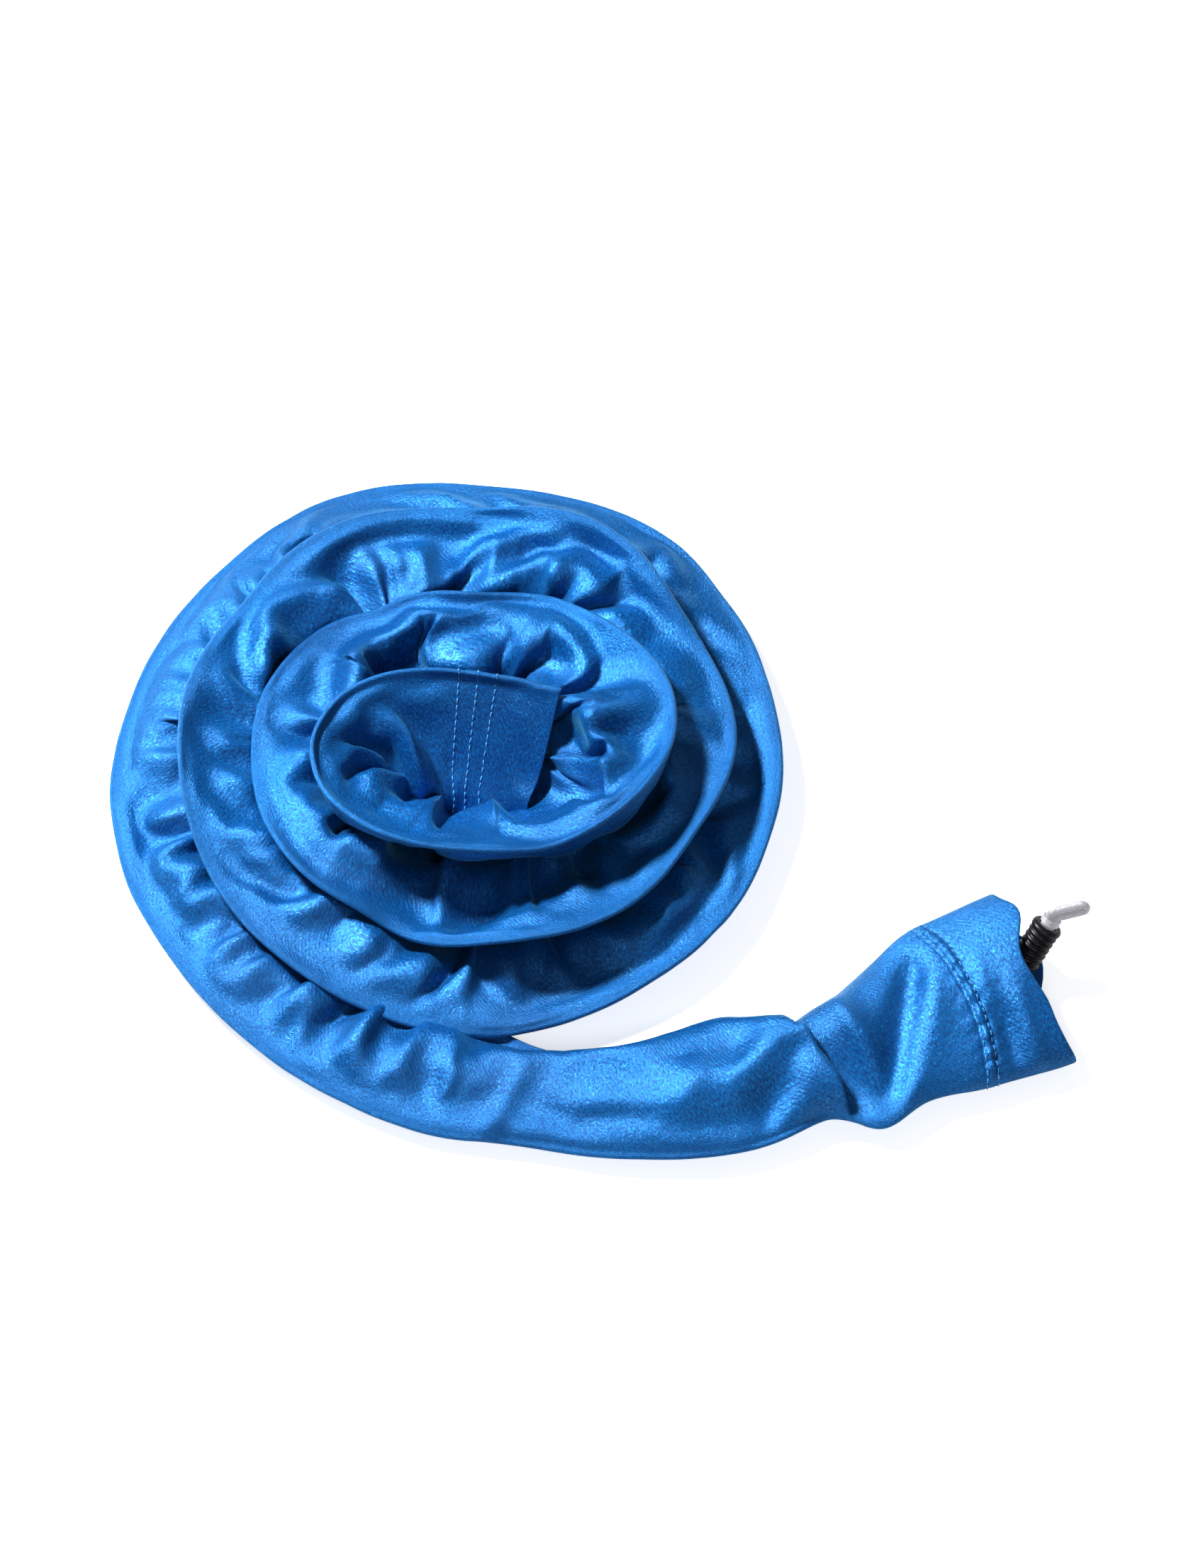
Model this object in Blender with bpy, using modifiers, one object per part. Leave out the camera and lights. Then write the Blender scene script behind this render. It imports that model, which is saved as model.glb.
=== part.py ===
"""Satin sleeve for a rhythmic gymnastics hoop, rolled up in a coil with its open end lying out flat.

The sleeve is a flattened tube that follows one path: a tight inner bend, a spiral of nearly three turns,
and a free tail. Its end cuff carries a hem with a stitched channel, an elastic drawcord, a ribbed cord
stopper and a pull loop. Distances along the sleeve are measured back from its open mouth, and angles round
a section from the sleeve's outer edge, through the top. Lengths are in metres, +Z is up, the floor is Z = 0.
"""

import math
from bisect import bisect_right

import bmesh
import bpy
from mathutils import Vector

MM = 0.001

# The coil, seen from above. The spiral is that of the sleeve's outer edge.
COIL_CENTRE = Vector((-47.75 * MM, 20.35 * MM, 0))
EDGE_RADIUS = 112.3 * MM  # on the +X side of the outermost turn
TURN_PITCH = 25.0 * MM
SPIRAL_FROM_DEG = -810
SPIRAL_TO_DEG = 205
SPIRAL_STEPS = 88

# The path's other knots from the coil's centre: where and the heading in degrees, then the handles.
INNER_MOUTH = (Vector((29 * MM, 1 * MM, 0)), 160)
INNER_MOUTH_HANDLE = 72 * MM
INNER_HANDLE = 48 * MM
OUTER_HANDLE = 62 * MM
TAIL_LOW_POINT = (Vector((60 * MM, -135 * MM, 0)), 0)
LOW_POINT_HANDLES = (80 * MM, 35 * MM)  # before and after it
MOUTH = (Vector((199 * MM, -86 * MM, 0)), 24.4)
MOUTH_HANDLE = 60 * MM
INNER_STEPS, TAIL_STEPS = 14, 22

# How far the outer edge of a turn leans up. The lean dies away along the outermost turn.
INNER_TILT_DEG = 58
COIL_TILT_DEG = 30
MOUTH_TILT_DEG = -7.4
STEEP_UNTIL_DEG = -560
LEAN_STARTS_DEG, LEAN_ENDS_DEG = -150, 110

COIL_HALF_WIDTH = 27 * MM
TAIL_HALF_WIDTH = 25 * MM

# The flattened section along the sleeve: distance from the mouth, half width, half thickness.
SLEEVE_PROFILE = (
    (0 * MM, 35 * MM, 10.5 * MM),
    (30 * MM, 34 * MM, 9.5 * MM),
    (58 * MM, 30 * MM, 8.5 * MM),
    (84 * MM, 24 * MM, 8 * MM),
    (115 * MM, 27.5 * MM, 8 * MM),
    (155 * MM, 24 * MM, 7 * MM),
    (185 * MM, 21.5 * MM, 6 * MM),
    (220 * MM, TAIL_HALF_WIDTH, 6 * MM),
    (440 * MM, TAIL_HALF_WIDTH, 5.8 * MM),
    (700 * MM, COIL_HALF_WIDTH, 4.4 * MM),
    (3000 * MM, COIL_HALF_WIDTH, 4.4 * MM),
)
CORNERS = 12
FINE_LENGTH = 140 * MM  # of the inner bend, whose sections stand closer together
FINE_STEP, COARSE_STEP = 5.5 * MM, 13.5 * MM
FABRIC = 0.5 * MM

# The crease where the end cuff swings: the cuff's narrow neck stands inside the tail.
CREASE = 84 * MM
NECK_DEPTH = 8 * MM
NECK_LENGTH = 18 * MM
NECK_HALF_WIDTH = 16 * MM
NECK_HALF_THICKNESS = 5 * MM
SEAM_GAP = 4 * MM  # from the neck to the coil's side seam

# The hem and its channel.
HEM_DEPTH = 31 * MM
RIM_SETBACK = 0.8 * MM
LAYER_GAP = 0.3 * MM
CHANNEL_AT = 25 * MM
CHANNEL_HALF = 2.25 * MM
CHANNEL_SLOPE = 3.5 * MM
CHANNEL_ROOM = (6.5 * MM, 4.3 * MM)  # across the sleeve and through it
HEADING_REACH = 4 * MM  # either side of a section, to read which way the sleeve runs
CUFF_SECTIONS, FACING_SECTIONS, CUFF_SEAM_POINTS = 17, 15, 10
INNER_HEM_DEPTH = 37 * MM
SEAM_STARTS = 40 * MM  # from the inner mouth
STITCH_RADIUS = 0.25 * MM
STITCH_LIFT = 1.2 * MM  # how far the stitching under them holds the sleeve's ends off the floor
INNER_LIFT = (60 * MM, 45 * MM)  # where that lift starts and is whole, from the inner mouth
JOIN_ROWS = (22 * MM, 28 * MM, 34 * MM)  # from the inner mouth
SEAM_RADIUS = 0.4 * MM
SEAM_INSET = 2.0 * MM
SEAM_MARGIN = 3 * MM

# The elastic cord, its exit hole, knot, stopper and pull loop.
CORD_RADIUS = 1.2 * MM
CORD_OFFSET = 1.35 * MM  # each strand from the middle of the pair
CORD_INSET = 2.9 * MM
EXIT_ANGLE_DEG = 270
EXIT_RADIUS = 4.2 * MM
EXIT_CUT_DEPTH = 4 * MM
EYELET_RADIUS = 4.8 * MM
EYELET_THREAD = 0.3 * MM
KNOT_RADIUS = 1.7 * MM
KNOT_ANGLE_DEG = 90
KNOT_REACH = 15 * MM  # the channel's bend, which turns the knot's size into an angle
STRAND_APART = 1.75 * MM  # each strand from the middle of the exit hole
STRANDS_PART = 2.6  # how much further apart they are when they enter the channel
LEAD_START = 1.5 * MM  # below the strands' upper ends
LEAD_TUCK = 2 * MM
LEAD_AT = (9 * MM, 17 * MM)  # the lead's bends, from the mouth
LEAD_DEPTHS = (6.0 * MM, 8.6 * MM)
RING_STARTS_DEG = 22  # from the exit hole
RING_POINTS = 14
STOPPER_BASE = Vector((195.5 * MM, -81.2 * MM, 9.6 * MM))
STOPPER_AXIS = Vector((0.48, 0.42, 0.77)).normalized()
STOPPER_LENGTH = 18 * MM
STOPPER_RADIUS = 5.2 * MM
STOPPER_GROOVE = 4.3 * MM
STOPPER_BORE = 2.95 * MM
RIB_CROWN = 0.3 * MM
RIB_FLANK = 0.22  # of the pitch
RIBS = 7
STOPPER_TRAVEL = 2.5 * MM
PART_GAP = 0.4 * MM
WHIPPING_LENGTH = 2.6 * MM
WHIPPING_THREAD = 0.45 * MM
WHIPPING_GAP = 0.3 * MM
NECK_ABOVE_TOP = 4.6 * MM
LOOP_ARM = 11 * MM
LOOP_HEADING = Vector((0.967, 0.153, 0.204)).normalized()

CUFF_PIECES = (
    "sleeve_cuff",
    "hem_facing",
    "side_seam_cuff",
    "channel_stitch_row_front",
    "channel_stitch_row_rear",
    "channel_cord_near",
    "channel_cord_far",
    "cord_knot",
    "exit_eyelet",
    "stopper_slide_axis",
    "loop_pull_axis",
)

SATIN = ((0.02, 0.19, 0.52, 1), 0.32, 0.0)
THREAD = ((0.10, 0.36, 0.70, 1), 0.6, 0.0)
RUBBER = ((0.012, 0.012, 0.016, 1), 0.35, 0.0)
ELASTIC = ((0.72, 0.72, 0.76, 1), 0.5, 0.0)


def clear_scene():
    for obj in list(bpy.data.objects):
        bpy.data.objects.remove(obj)


def collection(name):
    made = bpy.data.collections.new(name)
    bpy.context.scene.collection.children.link(made)
    return made


def material(name, look):
    colour, roughness, metallic = look
    made = bpy.data.materials.new(name)
    made.use_nodes = True
    shader = made.node_tree.nodes["Principled BSDF"]
    shader.inputs["Base Color"].default_value = colour
    shader.inputs["Roughness"].default_value = roughness
    shader.inputs["Metallic"].default_value = metallic
    return made


# ---------------------------------------------------------------- the sleeve's path


def ease(low, high, value):
    """0 at low, 1 at high, and a smooth rise between them."""
    share = min(1, max(0, (value - low) / (high - low)))
    return share * share * (3 - 2 * share)


def mix(a, b, share):
    return a + (b - a) * share


def steps(first, last, count):
    return [mix(first, last, k / (count - 1)) for k in range(count)]


def compass(angle_deg):
    angle = math.radians(angle_deg)
    return Vector((math.cos(angle), math.sin(angle), 0))


def profile(distance):
    """The half width and half thickness at a distance from the mouth."""
    for before, after in zip(SLEEVE_PROFILE, SLEEVE_PROFILE[1:]):
        if distance <= after[0]:
            share = ease(before[0], after[0], distance)
            return mix(before[1], after[1], share), mix(before[2], after[2], share)


def tilt_of_turn(angle_deg):
    steep = mix(INNER_TILT_DEG, COIL_TILT_DEG, ease(SPIRAL_FROM_DEG, STEEP_UNTIL_DEG, angle_deg))
    return mix(steep, 0, ease(LEAN_STARTS_DEG, LEAN_ENDS_DEG, angle_deg))


def spiral_point(angle_deg):
    """The middle of the sleeve, inside the outer edge by the half width as it leans."""
    leaning = 1 - ease(LEAN_STARTS_DEG, LEAN_ENDS_DEG, angle_deg)
    half_width = mix(TAIL_HALF_WIDTH, COIL_HALF_WIDTH, leaning)
    edge = EDGE_RADIUS + TURN_PITCH * angle_deg / 360
    radius = edge - half_width * math.cos(math.radians(tilt_of_turn(angle_deg)))
    return compass(angle_deg) * radius


def bend(start, start_handle, end_handle, end, count):
    """Points of a Bezier curve, without its last."""
    found = []
    for k in range(count):
        share = k / count
        left = 1 - share
        found.append(
            start * left**3
            + start_handle * (3 * left**2 * share)
            + end_handle * (3 * left * share**2)
            + end * share**3
        )
    return found


def path_stations():
    """(point on the floor, tilt in degrees) along the sleeve, from the inner mouth to the open one."""
    first, last = spiral_point(SPIRAL_FROM_DEG), spiral_point(SPIRAL_TO_DEG)
    inner, inner_heading = INNER_MOUTH
    points = bend(
        inner,
        inner + compass(inner_heading) * INNER_MOUTH_HANDLE,
        first - compass(SPIRAL_FROM_DEG + 90) * INNER_HANDLE,
        first,
        INNER_STEPS,
    )
    tilts = [INNER_TILT_DEG] * INNER_STEPS

    turns = steps(SPIRAL_FROM_DEG, SPIRAL_TO_DEG, SPIRAL_STEPS + 1)[:-1]
    points += [spiral_point(angle) for angle in turns]
    tilts += [tilt_of_turn(angle) for angle in turns]

    low, low_heading = TAIL_LOW_POINT
    low_before, low_after = LOW_POINT_HANDLES
    mouth, mouth_heading = MOUTH
    out = last + compass(SPIRAL_TO_DEG + 90) * OUTER_HANDLE
    points += bend(last, out, low - compass(low_heading) * low_before, low, TAIL_STEPS)
    out = low + compass(low_heading) * low_after
    points += bend(low, out, mouth - compass(mouth_heading) * MOUTH_HANDLE, mouth, TAIL_STEPS)
    points.append(mouth)
    tilts += [0] * (len(points) - len(tilts))
    return points, tilts


def section_outline(half_width, half_thickness, offset):
    """The corners of a flattened twelve-sided section, all its sides moved in by the offset."""
    corners = []
    for k in range(CORNERS):
        angle = math.radians(360 * (k + 0.5) / CORNERS)
        corners.append(Vector((half_width * math.cos(angle), half_thickness * math.sin(angle))))
    found = []
    for k, corner in enumerate(corners):
        before = (corner - corners[k - 1]).normalized()
        after = (corners[(k + 1) % CORNERS] - corner).normalized()
        inward = Vector((-before.y, before.x)) + Vector((-after.y, after.x))
        found.append(corner + inward * (offset / (1 + before.dot(after))))
    return found


class Path:
    """The sleeve's course and its sections, read by distance from its mouth."""

    def __init__(self):
        self.points, self.tilts = path_stations()
        self.reach = [0.0]
        for before, after in zip(self.points, self.points[1:]):
            self.reach.append(self.reach[-1] + (after - before).length)
        self.length = self.reach[-1]
        fine = self.length - FINE_LENGTH
        self.stations = steps(self.length, fine, round(FINE_LENGTH / FINE_STEP) + 1)
        self.stations += steps(fine, 0, round(fine / COARSE_STEP) + 1)[1:]

    def course(self, distance):
        """The point on the floor and the tilt at a distance from the mouth."""
        at = min(self.length, max(0, self.length - distance))
        index = min(len(self.reach) - 2, max(0, bisect_right(self.reach, at) - 1))
        low, high = self.reach[index], self.reach[index + 1]
        share = (at - low) / (high - low)
        point = mix(self.points[index], self.points[index + 1], share)
        return point, mix(self.tilts[index], self.tilts[index + 1], share)

    def section(self, distance, cuff=False):
        """Its centre, the directions across it and up through it, half width and half thickness."""
        point, tilt = self.course(distance)
        ahead = self.course(distance - HEADING_REACH)[0]
        heading = (ahead - self.course(distance + HEADING_REACH)[0]).normalized()
        width, thickness = profile(distance)
        neck = 0
        lift_from, lift_whole = INNER_LIFT
        lift = STITCH_LIFT * ease(self.length - lift_from, self.length - lift_whole, distance)
        if cuff:
            tilt = MOUTH_TILT_DEG * ease(CREASE - NECK_LENGTH, 0, distance)
            neck = ease(CREASE - NECK_LENGTH, CREASE, distance)
            lift = STITCH_LIFT * ease(CREASE - NECK_LENGTH, HEM_DEPTH, distance)
        lean = Vector((math.sin(math.radians(tilt)), math.cos(math.radians(tilt))))
        height = lift - min(corner.dot(lean) for corner in section_outline(width, thickness, 0))
        width = mix(width, NECK_HALF_WIDTH, neck)
        thickness = mix(thickness, NECK_HALF_THICKNESS, neck)
        side = heading.cross(Vector((0, 0, 1)))
        across = side * lean.y + Vector((0, 0, lean.x))
        centre = COIL_CENTRE + point + Vector((0, 0, height))
        return centre, across, across.cross(heading), width, thickness

    def ring(self, distance, offset, cuff=False, room=(0, 0)):
        """The section's corners, its sides moved in by the offset after making room inside."""
        centre, across, through, width, thickness = self.section(distance, cuff)
        outline = section_outline(width - room[0], thickness - room[1], offset)
        return [centre + across * corner.x + through * corner.y for corner in outline]

    def skin(self, distance, angle_deg, offset, cuff=False, room=(0, 0)):
        """A point on one of the section's sides."""
        ring = self.ring(distance, offset, cuff, room)
        turn = (angle_deg * CORNERS / 360 - 0.5) % CORNERS
        side = int(turn)
        return mix(ring[side], ring[(side + 1) % CORNERS], turn - side)

    def distances(self, nearest, furthest):
        """The stations between two distances, from the inner end, where they are closer, to the mouth."""
        kept = [furthest]
        for distance in self.stations:
            if nearest + 2 * MM < distance < furthest - 2 * MM:
                kept.append(distance)
        return [*kept, nearest]


# ---------------------------------------------------------------- makers of objects


def finish(obj, name, where, look=None):
    """Names the object, and puts it in its collection alone, with its material."""
    for holder in obj.users_collection:
        holder.objects.unlink(obj)
    where.objects.link(obj)
    obj.name = name
    if look:
        obj.data.materials.append(look)
    return obj


def new_mesh(name, shape):
    mesh = bpy.data.meshes.new(name)
    shape.to_mesh(mesh)
    shape.free()
    return bpy.data.objects.new(name, mesh)


def fabric_tube(name, rings, where, look):
    """An open tube through the rings, thickened inwards to the fabric's wall."""
    shape = bmesh.new()
    loops = [[shape.verts.new(point) for point in ring] for ring in rings]
    for lower, upper in zip(loops, loops[1:]):
        for k in range(CORNERS):
            after = (k + 1) % CORNERS
            shape.faces.new((lower[k], upper[k], upper[after], lower[after]))
    obj = finish(new_mesh(name, shape), name, where, look)
    wall = obj.modifiers.new("Wall", "SOLIDIFY")
    wall.thickness = FABRIC
    wall.offset = -1
    return obj


def cord(name, points, radius, where, look, closed=False, roundness=2):
    curve = bpy.data.curves.new(name, "CURVE")
    curve.dimensions = "3D"
    curve.bevel_depth = radius
    curve.bevel_resolution = roundness
    curve.use_fill_caps = not closed
    spline = curve.splines.new("POLY")
    spline.points.add(len(points) - 1)
    for target, point in zip(spline.points, points):
        target.co = (*point, 1)
    spline.use_cyclic_u = closed
    return finish(bpy.data.objects.new(name, curve), name, where, look)


def rounded(points, rounds):
    """The line with its corners cut off, as many times over as asked."""
    for _ in range(rounds):
        cut = [points[0]]
        for before, after in zip(points, points[1:]):
            cut.append(before.lerp(after, 0.25))
            cut.append(before.lerp(after, 0.75))
        points = [*cut, points[-1]]
    return points


# ---------------------------------------------------------------- the sleeve and its hems


def hem_room(distance):
    """How much the facing stands off inwards, to leave the cord its channel."""
    bulge = 1 - ease(CHANNEL_HALF, CHANNEL_HALF + CHANNEL_SLOPE, abs(distance - CHANNEL_AT))
    return CHANNEL_ROOM[0] * bulge, CHANNEL_ROOM[1] * bulge


def sleeve(path, where, satin):
    """The long rolled part, and the end cuff whose neck stands inside it."""
    coil = [path.ring(d, 0) for d in path.distances(CREASE, path.length)]
    fabric_tube("sleeve_coil", coil, where, satin)
    cuff = [path.ring(d, 0, cuff=True) for d in steps(CREASE + NECK_DEPTH, 0, CUFF_SECTIONS)]
    fabric_tube("sleeve_cuff", cuff, where, satin)


def hem_facings(path, where, satin, cutters):
    """The turned-in ends of the satin. The outer one has a hole where the cord leaves its channel."""
    inside = FABRIC + LAYER_GAP
    hem = steps(HEM_DEPTH, RIM_SETBACK, FACING_SECTIONS)
    rings = [path.ring(d, inside, True, hem_room(d)) for d in hem]
    facing = fabric_tube("hem_facing", rings, where, satin)
    bpy.ops.mesh.primitive_cylinder_add(
        radius=EXIT_RADIUS,
        depth=EXIT_CUT_DEPTH,
        vertices=20,
        location=path.skin(CHANNEL_AT, EXIT_ANGLE_DEG, inside, True, hem_room(CHANNEL_AT)),
    )
    cutter = finish(bpy.context.object, "exit_hole_cutter", cutters)
    cutter.rotation_euler = path.section(CHANNEL_AT, True)[2].to_track_quat("Z", "Y").to_euler()
    cutter.hide_render = True
    cutter.display_type = "WIRE"
    cut = facing.modifiers.new("Exit hole", "BOOLEAN")
    cut.operation = "DIFFERENCE"
    cut.object = cutter

    inner = path.distances(path.length - INNER_HEM_DEPTH, path.length - RIM_SETBACK)
    rings = [path.ring(d, inside) for d in inner]
    fabric_tube("inner_hem_facing", rings, where, satin)


def stitch_rows(path, where, thread):
    """Rows of thread round the sleeve, standing just off its face."""
    outside = -(STITCH_RADIUS + LAYER_GAP)
    for name, distance in (
        ("channel_stitch_row_front", CHANNEL_AT - CHANNEL_HALF),
        ("channel_stitch_row_rear", CHANNEL_AT + CHANNEL_HALF),
    ):
        ring = path.ring(distance, outside, cuff=True)
        cord(name, ring, STITCH_RADIUS, where, thread, closed=True, roundness=0)
    for number, from_end in enumerate(JOIN_ROWS, start=1):
        ring = path.ring(path.length - from_end, outside)
        name = f"inner_stitch_row_{number}"
        cord(name, ring, STITCH_RADIUS, where, thread, closed=True, roundness=0)


def side_seams(path, where, thread):
    """The lengthwise seam that closes the tube, inside its inner edge."""
    coil = path.distances(CREASE + NECK_DEPTH + SEAM_GAP, path.length - SEAM_STARTS)
    points = [path.skin(d, 180, SEAM_INSET) for d in coil]
    cord("side_seam_coil", points, SEAM_RADIUS, where, thread, roundness=0)
    ends = (CREASE + NECK_DEPTH - SEAM_MARGIN, HEM_DEPTH + SEAM_MARGIN)
    cuff = steps(*ends, CUFF_SEAM_POINTS)
    points = [path.skin(d, 180, SEAM_INSET, cuff=True) for d in cuff]
    cord("side_seam_cuff", points, SEAM_RADIUS, where, thread, roundness=0)


# ---------------------------------------------------------------- the drawcord


def on_stopper_axis(height, offset=0.0):
    """A point that far above the stopper's base, moved off its axis to the outside of the loop's bend."""
    outer = STOPPER_AXIS * STOPPER_AXIS.dot(LOOP_HEADING) - LOOP_HEADING
    return COIL_CENTRE + STOPPER_BASE + STOPPER_AXIS * height + outer.normalized() * offset


def pull_loop(where, elastic):
    """A hairpin of elastic cord through the stopper, bent over above it."""
    below = STOPPER_TRAVEL + PART_GAP
    elbow = STOPPER_LENGTH + NECK_ABOVE_TOP
    tip = on_stopper_axis(elbow) + LOOP_HEADING * LOOP_ARM
    outer = (STOPPER_AXIS - LOOP_HEADING * STOPPER_AXIS.dot(LOOP_HEADING)).normalized()
    half_bend = math.sqrt((1 + STOPPER_AXIS.dot(LOOP_HEADING)) / 2)
    corner = (STOPPER_AXIS - LOOP_HEADING).normalized()
    strands = []
    for offset in (CORD_OFFSET, -CORD_OFFSET):
        strands.append([
            on_stopper_axis(-below, offset),
            on_stopper_axis(STOPPER_LENGTH, offset),
            on_stopper_axis(elbow) + corner * (offset / half_bend),
            tip + outer * offset,
        ])
    turn = [
        tip + outer * (CORD_OFFSET * math.cos(angle)) + LOOP_HEADING * (CORD_OFFSET * math.sin(angle))
        for angle in steps(0, math.pi, 7)[1:-1]
    ]
    line = rounded(strands[0], 2) + turn + rounded(strands[1], 2)[::-1]
    cord("pull_loop", line, CORD_RADIUS, where, elastic)


def turned(name, outline, base, axis, where, look, steps_round):
    """A closed outline of (radius, height), turned about the axis through the base."""
    shape = bmesh.new()
    corners = [shape.verts.new((x, 0, z)) for x, z in outline]
    for k, corner in enumerate(corners):
        shape.edges.new((corners[k - 1], corner))
    obj = finish(new_mesh(name, shape), name, where, look)
    obj.location = base
    obj.rotation_euler = axis.to_track_quat("Z", "Y").to_euler()
    turn = obj.modifiers.new("Turn", "SCREW")
    turn.steps = turn.render_steps = steps_round
    turn.use_merge_vertices = True
    turn.merge_threshold = 0.00005
    return obj


def cord_stopper(where, rubber):
    """A ribbed barrel with one wide bore for both strands."""
    pitch = STOPPER_LENGTH / RIBS
    outline = []
    for rib in range(RIBS):
        top = STOPPER_LENGTH - rib * pitch
        outline.append((STOPPER_GROOVE, top))
        outline.append((STOPPER_RADIUS - RIB_CROWN, top - RIB_FLANK * pitch))
        outline.append((STOPPER_RADIUS, top - 0.5 * pitch))
        outline.append((STOPPER_RADIUS - RIB_CROWN, top - (1 - RIB_FLANK) * pitch))
    outline += [(STOPPER_GROOVE, 0), (STOPPER_BORE, 0), (STOPPER_BORE, STOPPER_LENGTH)]
    turned("cord_stopper", outline, on_stopper_axis(0), STOPPER_AXIS, where, rubber, 16)


def loop_whipping(where, thread):
    """Thread wound round both strands, just above the stopper."""
    inner = CORD_OFFSET + CORD_RADIUS + WHIPPING_GAP
    outline = [
        (inner + WHIPPING_THREAD, WHIPPING_LENGTH),
        (inner + WHIPPING_THREAD, 0),
        (inner, 0),
        (inner, WHIPPING_LENGTH),
    ]
    base = on_stopper_axis(STOPPER_LENGTH + PART_GAP)
    turned("loop_whipping", outline, base, STOPPER_AXIS, where, thread, 16)


def channel_cord(path, where, elastic):
    """Both strands from under the stopper, through the exit hole and round their half of the channel."""
    room = (CORD_INSET, CORD_INSET)
    across = path.section(CHANNEL_AT, True)[1]
    low = STOPPER_TRAVEL + 2 * PART_GAP
    knot_half_deg = math.degrees((KNOT_RADIUS + CORD_RADIUS) / KNOT_REACH)
    first, second = LEAD_AT
    shallow, deep = ((0, depth) for depth in LEAD_DEPTHS)
    for name, side in (("channel_cord_near", 1), ("channel_cord_far", -1)):
        apart = across * (STRAND_APART * side)
        lead = [
            on_stopper_axis(-low, -CORD_OFFSET * side),
            on_stopper_axis(-low - LEAD_START, -CORD_OFFSET * side),
            path.skin(first, EXIT_ANGLE_DEG, 0, True, shallow) + apart - across * LEAD_TUCK,
            path.skin(second, EXIT_ANGLE_DEG, 0, True, deep) + apart,
            path.skin(CHANNEL_AT, EXIT_ANGLE_DEG, 0, True, deep) + apart,
            path.skin(CHANNEL_AT, EXIT_ANGLE_DEG, 0, True, room) + apart,
            path.skin(CHANNEL_AT, EXIT_ANGLE_DEG, 0, True, room) + apart * STRANDS_PART,
        ]
        last = KNOT_ANGLE_DEG + (360 if side > 0 else 0) - side * knot_half_deg
        angles = steps(EXIT_ANGLE_DEG + side * RING_STARTS_DEG, last, RING_POINTS)
        ring = [path.skin(CHANNEL_AT, angle, 0, True, room) for angle in angles]
        cord(name, rounded(lead + ring, 1), CORD_RADIUS, where, elastic)


def knot_and_eyelet(path, where, elastic, thread):
    bpy.ops.mesh.primitive_uv_sphere_add(
        segments=14,
        ring_count=8,
        radius=KNOT_RADIUS,
        location=path.skin(CHANNEL_AT, KNOT_ANGLE_DEG, 0, True, (CORD_INSET, CORD_INSET)),
    )
    finish(bpy.context.object, "cord_knot", where, elastic)

    inside = 2 * (FABRIC + LAYER_GAP) + EYELET_THREAD
    bpy.ops.mesh.primitive_torus_add(
        major_radius=EYELET_RADIUS,
        minor_radius=EYELET_THREAD,
        major_segments=18,
        minor_segments=6,
        location=path.skin(CHANNEL_AT, EXIT_ANGLE_DEG, inside, True, hem_room(CHANNEL_AT)),
    )
    eyelet = finish(bpy.context.object, "exit_eyelet", where, thread)
    eyelet.rotation_euler = path.section(CHANNEL_AT, True)[2].to_track_quat("Z", "Y").to_euler()


def joint_empty(name, where, location, axis, children):
    """An empty on a joint's axis, with its Z along it, that carries what the joint moves."""
    empty = finish(bpy.data.objects.new(name, None), name, where)
    empty.location = location
    empty.rotation_euler = axis.to_track_quat("Z", "Y").to_euler()
    empty.empty_display_size = 10 * MM
    bpy.context.view_layer.update()
    for child in children:
        piece = bpy.data.objects[child]
        piece.parent = empty
        piece.matrix_parent_inverse = empty.matrix_world.inverted()


def main():
    clear_scene()
    parts = collection("rhythmic hoop sleeve")
    cutters = collection("cutters")
    satin = material("blue satin", SATIN)
    thread = material("blue thread", THREAD)
    rubber = material("black rubber", RUBBER)
    elastic = material("silver elastic", ELASTIC)
    path = Path()
    sleeve(path, parts, satin)
    hem_facings(path, parts, satin, cutters)
    stitch_rows(path, parts, thread)
    side_seams(path, parts, thread)
    pull_loop(parts, elastic)
    cord_stopper(parts, rubber)
    loop_whipping(parts, elastic)
    channel_cord(path, parts, elastic)
    knot_and_eyelet(path, parts, elastic, thread)

    on_axis = on_stopper_axis(0)
    crease = path.section(CREASE)[0]
    joint_empty("stopper_slide_axis", parts, on_axis, STOPPER_AXIS, ["cord_stopper"])
    joint_empty("loop_pull_axis", parts, on_axis, STOPPER_AXIS, ["pull_loop", "loop_whipping"])
    joint_empty("cuff_swing_axis", parts, crease, Vector((0, 0, 1)), CUFF_PIECES)


main()
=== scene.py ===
"""The looks of the rolled-up satin sleeve: its cloth, hems, stitching, cord stopper and pull loop, with light
and camera. Shapes are worked out in millimetres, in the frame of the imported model, and scaled once they are
meshes. Angles round the sleeve start at its outer edge and go over the top.
"""

import math

import bmesh
import bpy
import numpy as np
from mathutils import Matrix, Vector
from mathutils.bvhtree import BVHTree


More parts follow.
